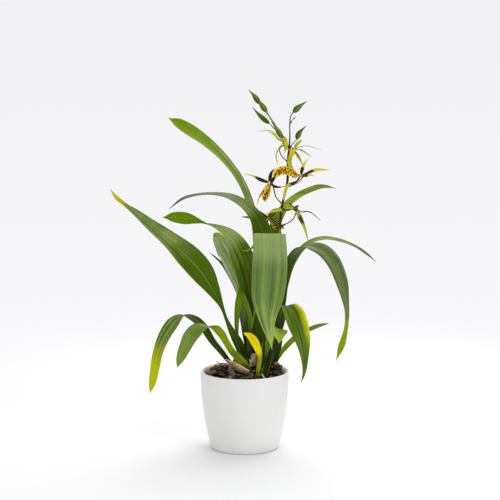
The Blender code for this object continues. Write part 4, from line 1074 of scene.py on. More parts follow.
def paper_material(name, dark, light):
    """Dry tan paper with brown fibres, a few stains, a straw coloured edge and painted shade along its lower
    side.
    """
    material, tree, shader = new_shader(name + " paper")
    across, along = blade_chart(tree)
    fibres = drawn_noise(tree, across, along, (34.0, 2.4), 4, roughness=0.6)
    stains = noise(tree, place(tree), 160, 4)
    colour = mix(tree, fade(tree, fibres, 0.43, 0.57), dark, light)
    colour = mix(tree, times(tree, fade(tree, stains, 0.52, 0.66), 0.6), colour, PAPER_STAIN)
    colour = mix(tree, fade(tree, across, 0.20, 0.08), colour, PAPER_STRAW_EDGE)
    # Painted shade along the lower side of the sheath.
    colour = mix(tree, times(tree, fade(tree, across, 0.35, 0.70), 0.8), colour, PAPER_SHADE_BELOW)
    colour_shader(tree, shader, colour, fibres, (0.55, 0.85))
    emboss_shader(tree, shader, fibres, 0.7, 0.4 * MM)
    return material


for name, (heading, stations) in DRY_SHEATHS.items():
    sheath = dry_sheath_piece(name, heading, stations)
    sheath.data.materials.append(paper_material(name, *PAPERS[name]))
    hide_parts(name)
    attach(sheath, "root")


# Aerial root and twig: one short root that has left the young shoot and crept down onto the bark, with
# a dull silvery skin and a fresh green growing tip, and a dry dark twig that sticks out of the bark
# beside the left sheath.

# Each point of a rod: x, y, z and radius, in millimetres.
TWIG_POINTS = ((-45, -9, 140, 0.4), (-39, -12, 136.6, 0.7), (-34, -14, 137.2, 0.6), (-24, -18, 133, 0.8))
ROOT_POINTS = ((27, -27, 122, 1.3), (29, -34, 120.5, 1.3), (31, -42, 118, 1.2), (33, -49, 116, 0.9))
THINNEST_ROD = 0.12
ROOT_DULL = (0.46, 0.43, 0.34, 1)
ROOT_SILVER = (0.78, 0.76, 0.68, 1)
ROOT_GREEN = (0.42, 0.52, 0.10, 1)


def charted_face(target, corners, column, row, columns, rows):
    """Add one face of a skin to a bmesh, with its place on the blade map."""
    chart = target.loops.layers.uv.verify()
    face = target.faces.new(corners)
    for loop, (right, up) in zip(face.loops, ((0, 0), (1, 0), (1, 1), (0, 1))):
        loop[chart].uv = ((column + right) / columns, (row + up) / rows)


def add_rod(target, points, steps, sides, ridges=0, ridge_depth=0.0):
    """Add a closed round rod, plain or ridged, to a bmesh."""
    rows = smooth_rows(points, steps)
    centres = [Vector(row[:3]) * MM for row in rows]
    directions = tangents(centres)
    side = directions[0].orthogonal().normalized()
    rings = []
    for centre, along, row in zip(centres, directions, rows):
        side = (side - along * side.dot(along)).normalized()
        other = along.cross(side)
        radius = max(row[3], THINNEST_ROD) * MM
        ring = []
        for spoke in range(sides):
            turn = math.tau * spoke / sides
            reach = radius * (1 + ridge_depth * math.cos(ridges * turn))
            ring.append(target.verts.new(centre + (side * math.cos(turn) + other * math.sin(turn)) * reach))
        rings.append(ring)
    for index, (near, far) in enumerate(zip(rings, rings[1:])):
        for spoke in range(sides):
            after = (spoke + 1) % sides
            corners = (near[spoke], near[after], far[after], far[spoke])
            charted_face(target, corners, spoke, index, sides, len(rings) - 1)
    target.faces.new(list(reversed(rings[0])))
    target.faces.new(rings[-1])


def piece_from(work, name):
    """Turn a bmesh into a smooth piece."""
    mesh = bpy.data.meshes.new(name)
    work.to_mesh(mesh)
    work.free()
    mesh.uv_layers[0].name = "blade"
    return mesh_piece(name, mesh)


def rod_piece(name, points, **shape):
    """Make a piece of one rod."""
    work = bmesh.new()
    add_rod(work, points, **shape)
    return piece_from(work, name)


def root_material():
    """Dull silvery root skin, green at its growing tip."""
    material, tree, shader = new_shader("silvery root skin")
    skin = noise(tree, place(tree), 700, 4)
    tip = fade(tree, blade_chart(tree)[1], 0.84, 0.93)
    colour = mix(tree, tip, mix(tree, skin, ROOT_DULL, ROOT_SILVER), ROOT_GREEN)
    colour_shader(tree, shader, colour, tip, (0.8, 0.4))
    emboss_shader(tree, shader, skin, 0.5, 0.2 * MM)
    return material


twig = rod_piece("bark_twig", TWIG_POINTS, steps=8, sides=10, ridges=3, ridge_depth=0.12)
twig.data.materials.append(damp_bark)
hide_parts("bark_mix")
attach(twig, "root")
aerial_root = rod_piece("aerial_root_silvery", ROOT_POINTS, steps=10, sides=20)
aerial_root.data.materials.append(root_material())
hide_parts("aerial_root")
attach(aerial_root, "root")


# Flower spike: a thin dark stem with joints, side shoots that end in buds, and a stalk for each bloom.
# It is green where it leaves the bulb and flushes purple brown above. Small dry bracts sit at the joints.

SPIKE_STEM = (
    (22, 14, 128, 2.2), (27, 15, 185, 2.2), (35, 18, 233, 2.1), (43, 22, 280, 2.0), (51, 25, 312, 2.0),
    (55, 27, 339, 2.0), (58, 29, 374, 1.9), (62, 30, 396, 1.9), (66, 30, 411, 1.9), (68, 30, 430, 1.9),
    (68, 30, 456, 1.7), (70, 30, 474, 1.4), (71, 30, 492, 1.0), (71, 29, 515, 0.85), (72, 29, 522, 0.8),
    (75.5, 28, 528, 0.7))
SPIKE_BRANCHES = (
    ((70, 30, 470, 1.2), (64, 28, 486, 1.1), (55, 27, 499, 1.0), (41, 25, 519, 0.8), (23, 22, 544, 0.6)),
    ((41, 25, 519, 0.7), (38, 21, 524, 0.6), (35.3, 18, 528.6, 0.6)),
    ((58, 27, 495, 0.8), (49, 31, 501, 0.7), (39.4, 34, 510.6, 0.6)),
    ((71, 30, 473, 0.9), (76, 24, 481, 0.7), (81.2, 19, 486.3, 0.6)),
    ((71, 29, 512, 0.6), (73.5, 31, 515.5, 0.5), (75.7, 32.6, 517.6, 0.5)),
    ((67, 29, 479, 0.9), (62.5, 23, 484, 0.7), (59.4, 20.2, 487.6, 0.6)),
)
# The heights of the joints, how long a joint's swelling is and how much it swells the stem.
SPIKE_JOINTS = (185, 233, 280, 339)
JOINT_LENGTH = 2.2
JOINT_SWELLING = 0.22
# Each bloom: its centre, the way that it faces, and the points of its stalk, all in millimetres.
BLOOM_PLACES = {
    "bloom_1": ((39, 4, 420), (-0.35, -0.9, -0.1), ((58, 29, 386), (50, 20, 395))),
    "bloom_2": ((88, 12, 430), (-0.45, -0.85, 0.2), ((67, 29, 413), (76, 23, 415), (86, 18, 422))),
    "bloom_3": ((81, 8, 379), (-0.1, -0.95, 0.3), ((58, 28, 351), (67, 26, 354), (77, 18, 363))),
    "bloom_4": ((38, 44, 361), (-0.2, -0.9, -0.35), ((57, 30, 366), (54, 38, 371), (46, 46, 371))),
    "bloom_5": ((77, 16, 471), (0.2, -0.9, -0.3), ((69, 29, 454), (73, 25, 461))),
    "bloom_6": ((61.5, 8, 483), (-0.3, -0.85, 0.3), ((68, 29, 451), (58, 23, 461), (55, 16, 473))),
}
# The column at the middle of each bloom: its length, and how much of it lies behind the centre.
COLUMN_LENGTH = 8
COLUMN_BACK = 0.4
STALK_RADIUS = 0.8
# The bracts: their sizes in millimetres, how far round they wrap in radians, and how large they are at a
# side shoot, a stalk and a joint.
BRACT_STEPS = 6
BRACT_WIDTH = 1.5
BRACT_LENGTH = 6.5
BRACT_WRAP = 2.6
BRACT_CLEARANCE = 0.5
BRACT_SEAT = Vector((0, 0, 1.0))
BRACT_THICKNESS = 0.25 * MM
BRANCH_BRACT, STALK_BRACT, JOINT_BRACT = 1.0, 1.1, 2.1
# Each skin: the colour of its lower part, of its upper part and of its flecks.
SPIKE_SKINS = {
    "spike skin": ((0.050, 0.075, 0.003, 1), (0.038, 0.009, 0.010, 1), (0.065, 0.070, 0.004, 1)),
    "stalk skin": ((0.055, 0.080, 0.012, 1), (0.060, 0.075, 0.010, 1), (0.040, 0.022, 0.014, 1)),
}
SPIKE_LINE = (0.10, 0.09, 0.02, 1)
BRACT_DARK = (0.10, 0.12, 0.012, 1)
BRACT_LIGHT = (0.30, 0.32, 0.03, 1)
BRACT_TIP = (0.16, 0.08, 0.03, 1)


def spike_piece():
    """Build the stem and its side shoots, with a slight swelling at each joint."""
    work = bmesh.new()
    stem = []
    for x, y, z, radius in smooth_rows(SPIKE_STEM, 4):
        swelling = max(math.exp(-((z - joint) / JOINT_LENGTH) ** 2) for joint in SPIKE_JOINTS)
        stem.append((x, y, z, radius * (1 + JOINT_SWELLING * swelling)))
    add_rod(work, stem, steps=3, sides=20, ridges=6, ridge_depth=0.03)
    for points in SPIKE_BRANCHES:
        add_rod(work, points, steps=8, sides=14, ridges=5, ridge_depth=0.04)
    return piece_from(work, "flower_spike_stem")


def bloom_place(name):
    """Return a bloom's centre, the direction that it faces and the points of its stalk."""
    centre, face, stalk = BLOOM_PLACES[name]
    return Vector(centre), Vector(face).normalized(), stalk


def stalk_piece():
    """Build the thin curved stalk of each bloom, grooved and a little thicker where it meets the flower."""
    work = bmesh.new()
    for name in BLOOM_PLACES:
        centre, face, stalk = bloom_place(name)
        back = centre - face * COLUMN_LENGTH * COLUMN_BACK
        before = back - face * COLUMN_LENGTH / 2
        points = [(*spot, STALK_RADIUS) for spot in stalk]
        points += [(*before, STALK_RADIUS * 1.25), (*back, STALK_RADIUS * 1.1)]
        add_rod(work, points, steps=9, sides=14, ridges=6, ridge_depth=0.1)
    return piece_from(work, "flower_spike_stalks")


def bract_piece():
    """Fold a small pointed bract against each joint and at the foot of each stalk and side shoot."""
    feet = [(Vector(points[0][:3]), Vector(points[1][:3]), BRANCH_BRACT) for points in SPIKE_BRANCHES]
    for centre, face, stalk in BLOOM_PLACES.values():
        feet.append((Vector(stalk[0]), Vector(stalk[1]), STALK_BRACT))
    for joint in SPIKE_JOINTS:
        spot = Vector(min(SPIKE_STEM, key=lambda row: abs(row[2] - joint))[:3])
        feet.append((spot, spot + Vector((-0.6, -1.2, 9)), JOINT_BRACT))
    work = bmesh.new()
    for start, towards, size in feet:
        up = (towards - start).normalized()
        away = up.orthogonal().normalized()
        lines = []
        for row in range(BRACT_STEPS + 1):
            share = row / BRACT_STEPS
            reach = size * BRACT_WIDTH * (1 - share) ** 0.7 + BRACT_CLEARANCE
            centre = start + up * (share * BRACT_LENGTH * size ** 0.5) - BRACT_SEAT
            line = []
            for column in range(BRACT_STEPS + 1):
                turn = (column / BRACT_STEPS - 0.5) * BRACT_WRAP
                out = away * math.sin(turn) - up.cross(away) * math.cos(turn)
                line.append(work.verts.new((centre + out * reach) * MM))
            lines.append(line)
        for row, (near, far) in enumerate(zip(lines, lines[1:])):
            for column in range(BRACT_STEPS):
                corners = (near[column], near[column + 1], far[column + 1], far[column])
                charted_face(work, corners, column, row, BRACT_STEPS, BRACT_STEPS)
    bracts = piece_from(work, "flower_spike_bracts")
    thicken(bracts, BRACT_THICKNESS, -1)
    return bracts


def spike_material(name):
    """Stem skin that changes colour with height, with fine ridges and small flecks."""
    material, tree, shader = new_shader(name)
    low, high, flecks = SPIKE_SKINS[name]
    lines = noise(tree, place(tree, (1500, 1500, 60)), 1, 3)
    mottle = noise(tree, place(tree), 260, 4)
    uneven = maths(tree, "ADD", height_above_floor(tree), times(tree, mottle, 0.09))
    colour = mix(tree, fade(tree, uneven, 0.36, 0.46), low, high)
    colour = mix(tree, times(tree, fade(tree, mottle, 0.50, 0.66), 0.6), colour, flecks)
    colour = mix(tree, times(tree, fade(tree, lines, 0.6, 0.8), 0.25), colour, SPIKE_LINE)
    colour_shader(tree, shader, colour, lines, (0.35, 0.55), 0.15)
    emboss_shader(tree, shader, lines, 0.4, 0.2 * MM)
    return material


def bract_material():
    """Yellow green bract with brown streaks towards its dry tip."""
    material, tree, shader = new_shader("small bract")
    streaks = noise(tree, place(tree, (900, 900, 90)), 1, 3)
    colour = mix(tree, fade(tree, streaks, 0.4, 0.65), BRACT_DARK, BRACT_LIGHT)
    colour = mix(tree, fade(tree, blade_chart(tree)[1], 0.5, 1.0), colour, BRACT_TIP)
    colour_shader(tree, shader, colour, streaks, (0.45, 0.7))
    emboss_shader(tree, shader, streaks, 0.4, 0.2 * MM)
    return material


spike = spike_piece()
spike.data.materials.append(spike_material("spike skin"))
stalks = stalk_piece()
stalks.data.materials.append(spike_material("stalk skin"))
bracts = bract_piece()
bracts.data.materials.append(bract_material())
for piece in (spike, stalks, bracts):
    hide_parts("flower_spike")
    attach(piece, "root")


# Buds: closed, pointed buds at the ends of the side shoots, the outer petals still wrapped tight.
# They are dark green with a brown flush, ridged where the petals meet, with a thin drawn-out tip.

# Each bud: its foot, its tip, how far its middle bends aside, and its radius, in millimetres.
BUDS = {
    "bud_1": ((23.6, 22, 541.8), (6, 18, 563.8), (1.0, 0, 0.8), 4.3),
    "bud_2": ((35, 17.7, 529), (18.6, 14, 554.2), (-0.5, 0, -0.5), 4.2),
    "bud_3": ((39, 34.2, 511), (12, 40, 537), (-1, 0, -1), 4.1),
    "bud_4": ((59.5, 19.8, 487.5), (41, 14, 516), (0.5, 0, 0.5), 4.2),
    "bud_5": ((76, 27.9, 528.4), (97, 25, 546), (-0.8, 0, 0.6), 4.6),
    "bud_6": ((76, 32.9, 517.9), (81, 36, 522), (0, 0, 0), 1.3),
    "bud_7": ((81.6, 18.6, 486.8), (96, 13, 508), (-2.5, 0, 0.5), 4.4),
}
FRESH_BUDS = ("bud_4", "bud_6")
# The outline: how far along the bud, and how thick it is there as a share of its radius.
BUD_OUTLINE = ((0, 0.3), (0.12, 0.75), (0.3, 1), (0.5, 0.8), (0.7, 0.42), (0.88, 0.2), (1, 0.1))
BUD_RIDGES = 3
# Each skin: its dark and its green.
BUD_SKINS = {
    "bud skin": ((0.045, 0.085, 0.002, 1), (0.120, 0.200, 0.003, 1)),
    "fresh bud skin": ((0.090, 0.130, 0.004, 1), (0.240, 0.320, 0.008, 1)),
}
BUD_RIDGE = (0.26, 0.34, 0.004, 1)
BUD_FLUSH = (0.045, 0.030, 0.010, 1)
BUD_FOOT = (0.20, 0.24, 0.012, 1)


def bud_piece(name, foot, tip, bend, radius):
    """Swell one bud from its foot to its tip, with three ridges where its petals meet."""
    points = []
    for share, thickness in BUD_OUTLINE:
        spot = Vector(foot).lerp(Vector(tip), share) + Vector(bend) * math.sin(math.pi * share)
        points.append((*spot, radius * thickness))
    return rod_piece(name + "_closed", points, steps=8, sides=30, ridges=BUD_RIDGES, ridge_depth=0.09)


def bud_material(name):
    """Waxy bud skin: dark green, lighter along the ridges, flushed brown, with fine lengthwise lines."""
    material, tree, shader = new_shader(name)
    dark, green = BUD_SKINS[name]
    across, along = blade_chart(tree)
    ridges = maths(tree, "COSINE", times(tree, across, math.tau * BUD_RIDGES))
    lines = drawn_noise(tree, across, along, (60.0, 3.0), 3)
    flush = noise(tree, place(tree), 170, 3)
    foot = rest_of(tree, fade(tree, along, 0.02, 0.22))
    colour = mix(tree, fade(tree, lines, 0.4, 0.66), dark, green)
    colour = mix(tree, fade(tree, ridges, 0.70, 1.0), colour, BUD_RIDGE)
    colour = mix(tree, times(tree, fade(tree, flush, 0.5, 0.68), 0.4), colour, BUD_FLUSH)
    colour = mix(tree, times(tree, foot, 0.4), colour, BUD_FOOT)
    colour_shader(tree, shader, colour, lines, (0.3, 0.5), 0.12)
    emboss_shader(tree, shader, lines, 0.4, 0.3 * MM)
    return material


bud_skin = bud_material("bud skin")
fresh_bud_skin = bud_material("fresh bud skin")
for name, shape in BUDS.items():
    bud = bud_piece(name, *shape)
    bud.data.materials.append(fresh_bud_skin if name in FRESH_BUDS else bud_skin)
    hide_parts(name)
    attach(bud, "root")


# Blooms: five long narrow tepals round a short column, and a broad spotted lip with a crisped edge.
# The tepals are maroon brown near the centre and yellow green at their curling tips.

# Each bloom: where its five tepals bend, in millimetres from its centre, and how far each is turned; the
# widths of those that differ; which show their backs; where the maroon starts and ends on those with a
# patch of their own; and the stations of its lip as x, y, z and width, with its roll in degrees.
BLOOMS = {
    "bloom_1": {
        "tepals": (
            ((-14, -1, 5), (-26, -4, 11), (-41, -8, 15)), ((1, 3, 9), (3, 5, 16), (9, 8, 22)),
            ((4, -2, 4), (7, -4, 8), (11, -6, 13)), ((8, 0, -5), (18, -6, -6), (33, -12, -2)),
            ((-7, 4, -11), (-16, 6, -24), (-20, 5, -36))),
        "turns": (10, 15, 10, 25, 45),
        "widths": {0: (3, 6.4, 2.4, 0.6), 1: (4, 6.4, 4, 1), 2: (4, 6.4, 4.6, 1), 3: (3, 5.6, 2.4, 0.6)},
        "patches": {2: (-0.2, 0.9), 1: (-0.2, 0.8)},
        "lip": ((-2, -8, -8, 14), (-4, -11, -16, 17), (-7, -11, -24, 11), (-8, -10, -29, 3)),
        "lip_roll": 0,
    },
    "bloom_2": {
        "tepals": (
            ((2, 3, 9), (5, 5, 18), (12, 8, 27)), ((10, -1, 5), (23, -5, 10), (45, -8, 10)),
            ((9, 8, 1), (16, 15, 1), (23, 22, -2)), ((-8, 6, 2), (-19, 9, 6), (-31, 8, 8)),
            ((-8, -6, -9), (-19, -6, -14), (-28, -5, -38))),
        "turns": (10, 30, 60, 40, 10),
        "widths": {1: (2.2, 3.8, 5.8, 0.8), 4: (3, 4, 6, 3)},
        "lip": (
            (-11, -8, 3, 13), (-21, -12, 8, 14), (-32, -14, 9, 14), (-39, -14, 4, 11), (-42, -13, -1, 4)),
        "lip_roll": -75,
    },
    "bloom_3": {
        "tepals": (
            ((7, -3, -4), (19, -5, -4), (38, -8, -18)), ((4, -5, -10), (11, -8, -25), (19, -7, -52)),
            ((-1, -1, -1), (0, -4, 3), (4, -7, 6)), ((-5, 3, 2), (-9, 4, 6), (-12, 4, 11)),
            ((-13, 2, -2), (-30, 0, -3), (-49, -4, -8))),
        "turns": (60, 0, 10, 20, 25),
        "widths": {
            0: (1.8, 2.4, 2.4, 1.2), 1: (3, 7.4, 5.2, 0.6), 2: (5, 7.4, 5.4, 1), 3: (3, 4, 3.4, 0.6),
            4: (3, 5.4, 6.4, 0.6)},
        "backs": (0, 2),
        "patches": {1: (0.24, 0.46), 3: (-0.2, 0.95)},
        "lip": ((-8, -10, 2, 7), (-14, -15, 4, 9), (-20, -19, 2, 3)),
        "lip_roll": -60,
    },
    "bloom_4": {
        "tepals": (
            ((4, -4, 6), (9, -8, 12), (15, -12, 17)), ((-7, -2, 4), (-13, -5, 9), (-20, -7, 14)),
            ((-12, -5, -1), (-24, -9, 1), (-44, -12, 3)), ((-4, -8, -12), (-13, -17, -28), (-30, -22, -48)),
            ((9, -2, -5), (17, -3, -11), (25, -2, -17))),
        "turns": (0, 0, 30, 40, 0),
        "widths": {0: (6, 10, 8, 2), 1: (4, 8, 6, 1), 2: (3, 6, 5, 1.4), 4: (6, 10, 9, 3)},
        "patches": {1: (-0.2, 1.2)},
        "lip": ((4, -9, -8, 8), (7, -13, -13, 9), (9, -15, -19, 5)),
        "lip_roll": -20,
    },
    "bloom_5": {
        "tepals": (
            ((8, 3, 4), (20, 2, 6), (42, -3, 0)), ((9, -4, 1), (17, -8, -3), (27, -12, -11)),
            ((6, 1, -8), (10, -5, -15), (14, -11, -25)), ((4, 6, 8), (9, 9, 12), (14, 12, 15)),
            ((-5, 2, -9), (-7, -3, -20), (0, -8, -35))),
        "turns": (65, 50, 45, 10, 10),
        "widths": {0: (1.8, 2.6, 2, 0.5), 3: (3, 7, 5, 0.6), 4: (4, 7, 7, 4)},
        "backs": (0,),
        "lip": ((-2, -6, -1, 8), (-3, -8, -6, 9), (-4, -9, -12, 4)),
        "lip_roll": 0,
    },
    "bloom_6": {
        "tepals": (
            ((-8, 0, 4), (-20, -2, 17), (-42, -4, 17)), ((-7, -7, 4), (-17, -12, 12), (-32, -18, 23)),
            ((-2, -7, 4), (-5, -16, 6), (-9, -26, 5)), ((2, -5, -6), (2, -10, -11), (0, -16, -18)),
            ((-7, -5, -9), (-12, -8, -22), (-9, -8, -36))),
        "turns": (30, 35, 40, 30, 50),
        "widths": {0: (2.4, 3.6, 2.2, 0.5), 1: (2.4, 3.4, 2, 0.5), 2: (2.4, 3.6, 2.6, 0.5)},
        "lip": ((1, -7, 6, 5.5), (3, -11, -2, 6), (4, -13, -12, 2.8)),
        "lip_roll": 30,
    },
}
TEPAL_WIDTHS = (2.8, 6.2, 4.2, 0.6)
TEPAL_STEPS = 14
TEPAL_COLUMNS = 12
TEPAL_TIP_SHARE = 0.1
TEPAL_WAVES = 5
PETAL_FOLD = math.radians(20)
PETAL_WAVE = 0.16
PETAL_THICKNESS = 0.35 * MM
LIP_SEAT = 2
LIP_CLEARANCE = 0.65
LIP_ROOT_WIDTH = 2.5
LIP_STEPS = 12
LIP_COLUMNS = 26
LIP_TIP_SHARE = 0.06
LIP_CALLUS = 0.9 * MM
COLUMN_RADIUS = 2.0
COLUMN_ARCH = Vector((0, 0, 0.9))
# The column's outline: how far along it, and its radius there in millimetres.
COLUMN_OUTLINE = ((0, 1.25), (0.2, 1.7), (0.45, 2.1), (0.7, 1.9), (0.82, 2.3), (0.93, 1.8), (1.0, 0.6))

# How each bloom is coloured: where the maroon starts and ends along its tepals, how striped it is, the
# green of the tips, the column, and the ground of the lip with the size of its spots.
LEMON = (0.95, 0.74, 0.010, 1)
BLOOM_LOOKS = {
    "bloom_1": (-0.2, 0.54, 0.0, (0.55, 0.55, 0.02, 1), (0.80, 0.52, 0.25, 1), LEMON, 0.53),
    "bloom_2": (0.04, 0.46, 0.0, (0.78, 0.72, 0.02, 1), (0.55, 0.50, 0.03, 1), LEMON, 0.53),
    "bloom_3": (0.14, 0.46, 0.2, (0.52, 0.55, 0.01, 1), (0.09, 0.11, 0.008, 1), (0.40, 0.46, 0.01, 1), 0.36),
    "bloom_4": (-0.2, 0.88, 1, (0.55, 0.56, 0.012, 1), (0.38, 0.34, 0.02, 1), (0.42, 0.42, 0.01, 1), 0.56),
    "bloom_5": (-0.2, 0.06, 0.0, (0.50, 0.56, 0.01, 1), (0.50, 0.52, 0.02, 1), (0.90, 0.74, 0.012, 1), 0.28),
    "bloom_6": (-0.2, 0.10, 0.0, (0.50, 0.58, 0.01, 1), (0.60, 0.52, 0.02, 1), (0.66, 0.62, 0.01, 1), 0.22),
}
MAROON_DARK = (0.016, 0.004, 0.006, 1)
MAROON_LIGHT = (0.060, 0.016, 0.020, 1)
TEPAL_GREEN = (0.40, 0.43, 0.008, 1)
TEPAL_BLOT = (0.16, 0.19, 0.008, 1)
TEPAL_MARGIN = (0.46, 0.48, 0.01, 1)
BACK_DARK = (0.030, 0.050, 0.008, 1)
BACK_GREEN = (0.080, 0.110, 0.014, 1)
BACK_TIP = (0.32, 0.37, 0.02, 1)
LIP_TINT = (0.86, 0.72, 0.7, 1)
LIP_SPOT = (0.21, 0.034, 0.002, 1)
LIP_ROOT = (0.66, 0.46, 0.20, 1)
COLUMN_GREEN = (0.26, 0.31, 0.02, 1)
COLUMN_FLECK = (0.12, 0.02, 0.01, 1)


def keel(reach):
    """Return how far a petal rises beside its midrib, as a share of its half width."""
    return (math.sqrt(reach * reach + 0.01) - 0.1) * math.sin(PETAL_FOLD)


def tepal_piece(name, centre, face, bends, turn, widths):
    """Shape one tepal that faces the bloom's front: keeled, with a waved margin and a pointed tip."""
    points = [(0, 0, 0), *bends]
    stations = [(*(centre + Vector(point)), width, turn) for point, width in zip(points, widths)]
    phase = random.Random(name).uniform(0, math.tau)
    lines = []
    for spot, side, upper, half, share in blade_frames(stations, 0, TEPAL_STEPS, face):
        half = rounded_tip(half, share, TEPAL_TIP_SHARE, 0.15 * MM)
        line = []
        for across in columns_across(TEPAL_COLUMNS):
            reach = abs(across)
            wave = math.sin(math.tau * TEPAL_WAVES * share + phase + across) * reach ** 2
            rise = half * (keel(reach) + PETAL_WAVE * wave)
            line.append(spot + side * half * across * math.cos(PETAL_FOLD) + upper * rise)
        lines.append((line, share))
    return sheet_of(name, lines, PETAL_THICKNESS)


def lip_piece(name, centre, face, rows, roll):
    """Shape the lip: a narrow claw, a broad blade, raised ridges near its root and a crisped margin."""
    first, last = Vector(rows[0][:3]), Vector(rows[-1][:3])
    away = (first - face * face.dot(first)).normalized()
    root = face * LIP_SEAT + away * (COLUMN_RADIUS + LIP_CLEARANCE)
    rows = [(*root, LIP_ROOT_WIDTH), *rows]
    stations = [(*(centre + Vector(row[:3])), row[3], roll) for row in rows]
    heading = math.degrees(math.atan2(last.y, last.x))
    phase = random.Random(name).uniform(0, math.tau)
    lines = []
    for spot, side, upper, half, share in blade_frames(stations, heading, LIP_STEPS):
        half = rounded_tip(half, share, LIP_TIP_SHARE, 0.3 * MM)
        turn = math.tau * share
        line = []
        for across in columns_across(LIP_COLUMNS):
            reach = abs(across)
            crisp = math.sin(6.5 * turn + phase + 2.2 * (across > 0))
            crisp += 0.5 * math.sin(13 * turn + 1.7 * phase)
            crisp *= reach ** 4 * min(1, share * 3)
            callus = math.exp(-((share - 0.2) / 0.11) ** 2) * math.exp(-((reach - 0.25) / 0.12) ** 2)
            rise = half * (keel(reach) + PETAL_WAVE * crisp) + LIP_CALLUS * callus
            width = half * (1 + 0.05 * math.sin(9 * turn + phase) * (reach > 0.9))
            line.append(spot + side * width * across * math.cos(PETAL_FOLD) + upper * rise)
        lines.append((line, share))
    return sheet_of(name + "_spotted", lines, PETAL_THICKNESS)


def column_piece(name, centre, face):
    """Build the column: a short, slightly flattened rod that arches a little and swells at its cap."""
    back = centre - face * COLUMN_LENGTH * COLUMN_BACK
    front = centre + face * COLUMN_LENGTH * (1 - COLUMN_BACK)
    points = []
    for share, radius in COLUMN_OUTLINE:
        points.append((*(back.lerp(front, share) + COLUMN_ARCH * share * share), radius))
    return rod_piece(name + "_column", points, steps=5, sides=20, ridges=2, ridge_depth=0.1)


def tepal_material(name, start, end, striped, tip):
    """Waxy tepal with a maroon patch, ragged or striped, then yellow green, and a pale margin."""
    material, tree, shader = new_shader(name + " tepals")
    across, along = blade_chart(tree)
    reach = maths(tree, "ABSOLUTE", maths(tree, "SUBTRACT", across, 0.5))
    blots = drawn_noise(tree, across, along, (9.0, 4.0), 3)
    veins = noise(tree, place(tree), 420, 3)
    edge = maths(tree, "ADD", along, times(tree, maths(tree, "SUBTRACT", blots, 0.5), 0.3))
    inside = times(tree, fade(tree, edge, start - 0.03, start + 0.03),
                   rest_of(tree, fade(tree, edge, end - 0.03, end + 0.03)))
    stripes = maths(tree, "COSINE", times(tree, across, math.tau * 2.5))
    gaps = times(tree, fade(tree, stripes, 0.2, 0.8), striped)
    inside = times(tree, inside, rest_of(tree, gaps))
    green = mix(tree, fade(tree, along, 0.2, 0.6), TEPAL_GREEN, tip)
    green = mix(tree, times(tree, fade(tree, blots, 0.55, 0.68), 0.5), green, TEPAL_BLOT)
    colour = mix(tree, inside, green, mix(tree, veins, MAROON_DARK, MAROON_LIGHT))
    colour = mix(tree, times(tree, fade(tree, reach, 0.42, 0.5), 0.6), colour, TEPAL_MARGIN)
    colour_shader(tree, shader, colour, veins, (0.36, 0.55), 0.2)
    emboss_shader(tree, shader, maths(tree, "ADD", veins, blots), 0.35, 0.3 * MM)
    return material


def tepal_back_material():
    """Back of a tepal: dull dark green with fine lines along it, and a paler tip."""
    material, tree, shader = new_shader("tepal backs")
    across, along = blade_chart(tree)
    lines = drawn_noise(tree, across, along, (14.0, 3.0), 3)
    colour = mix(tree, fade(tree, lines, 0.4, 0.64), BACK_DARK, BACK_GREEN)
    colour = mix(tree, fade(tree, along, 0.72, 1.0), colour, BACK_TIP)
    colour_shader(tree, shader, colour, lines, (0.4, 0.6), 0.2)
    emboss_shader(tree, shader, lines, 0.4, 0.3 * MM)
    return material


def lip_material(name, ground, spot_size):
    """Waxy lip, crowded with red brown spots that run together towards its middle, pale at its root."""
    material, tree, shader = new_shader(name + " lip")
    across, along = blade_chart(tree)
    reach = times(tree, maths(tree, "ABSOLUTE", maths(tree, "SUBTRACT", across, 0.5)), 2.0)
    warp = noise(tree, place(tree), 520, 2)
    drift = add_node(tree, "TexNoise", {"Vector": place(tree), "Scale": 420.0}).outputs["Color"]
    drift = add_node(tree, "VectorMath", {0: drift, "Scale": 1.6 * MM}, operation="SCALE").outputs[0]
    bent = add_node(tree, "VectorMath", {0: place(tree), 1: drift}, operation="ADD").outputs[0]
    spots = add_node(tree, "TexVoronoi", {"Vector": bent, "Scale": 370.0}).outputs["Distance"]
    size = add_node(tree, "MapRange", {"Value": reach, "From Min": 0.2, "From Max": 1.0,
                                       "To Min": spot_size * 1.15, "To Max": spot_size * 0.62}).outputs[0]
    spotted = rest_of(tree, fade(tree, maths(tree, "SUBTRACT", spots, size), -0.06, 0.04))
    deeper = mix(tree, 1.0, ground, LIP_TINT, "MULTIPLY")
    colour = mix(tree, noise(tree, place(tree), 240, 3), deeper, ground)
    colour = mix(tree, spotted, colour, LIP_SPOT)
    colour = mix(tree, fade(tree, along, 0.14, 0.06), colour, LIP_ROOT)
    colour_shader(tree, shader, colour, warp, (0.34, 0.55), 0.15)
    emboss_shader(tree, shader, maths(tree, "ADD", warp, spotted), 0.4, 0.3 * MM)
    return material


def column_material(name, cap):
    """Waxy column, green at its back, with a few maroon flecks."""
    material, tree, shader = new_shader(name + " column")
    flecks = fade(tree, noise(tree, place(tree), 900, 2), 0.58, 0.66)
    colour = mix(tree, fade(tree, blade_chart(tree)[1], 0.3, 0.7), COLUMN_GREEN, cap)
    colour = mix(tree, flecks, colour, COLUMN_FLECK)
    colour_shader(tree, shader, colour, flecks, (0.35, 0.5), 0.3)
    return material


def join_pieces(pieces, name):
    """Join pieces into one object that keeps each one's material."""
    bpy.ops.object.select_all(action="DESELECT")
    for piece in pieces:
        piece.select_set(True)
    bpy.context.view_layer.objects.active = pieces[0]
    bpy.ops.object.join()
    pieces[0].name = name
    pieces[0].data.name = name
    return pieces[0]


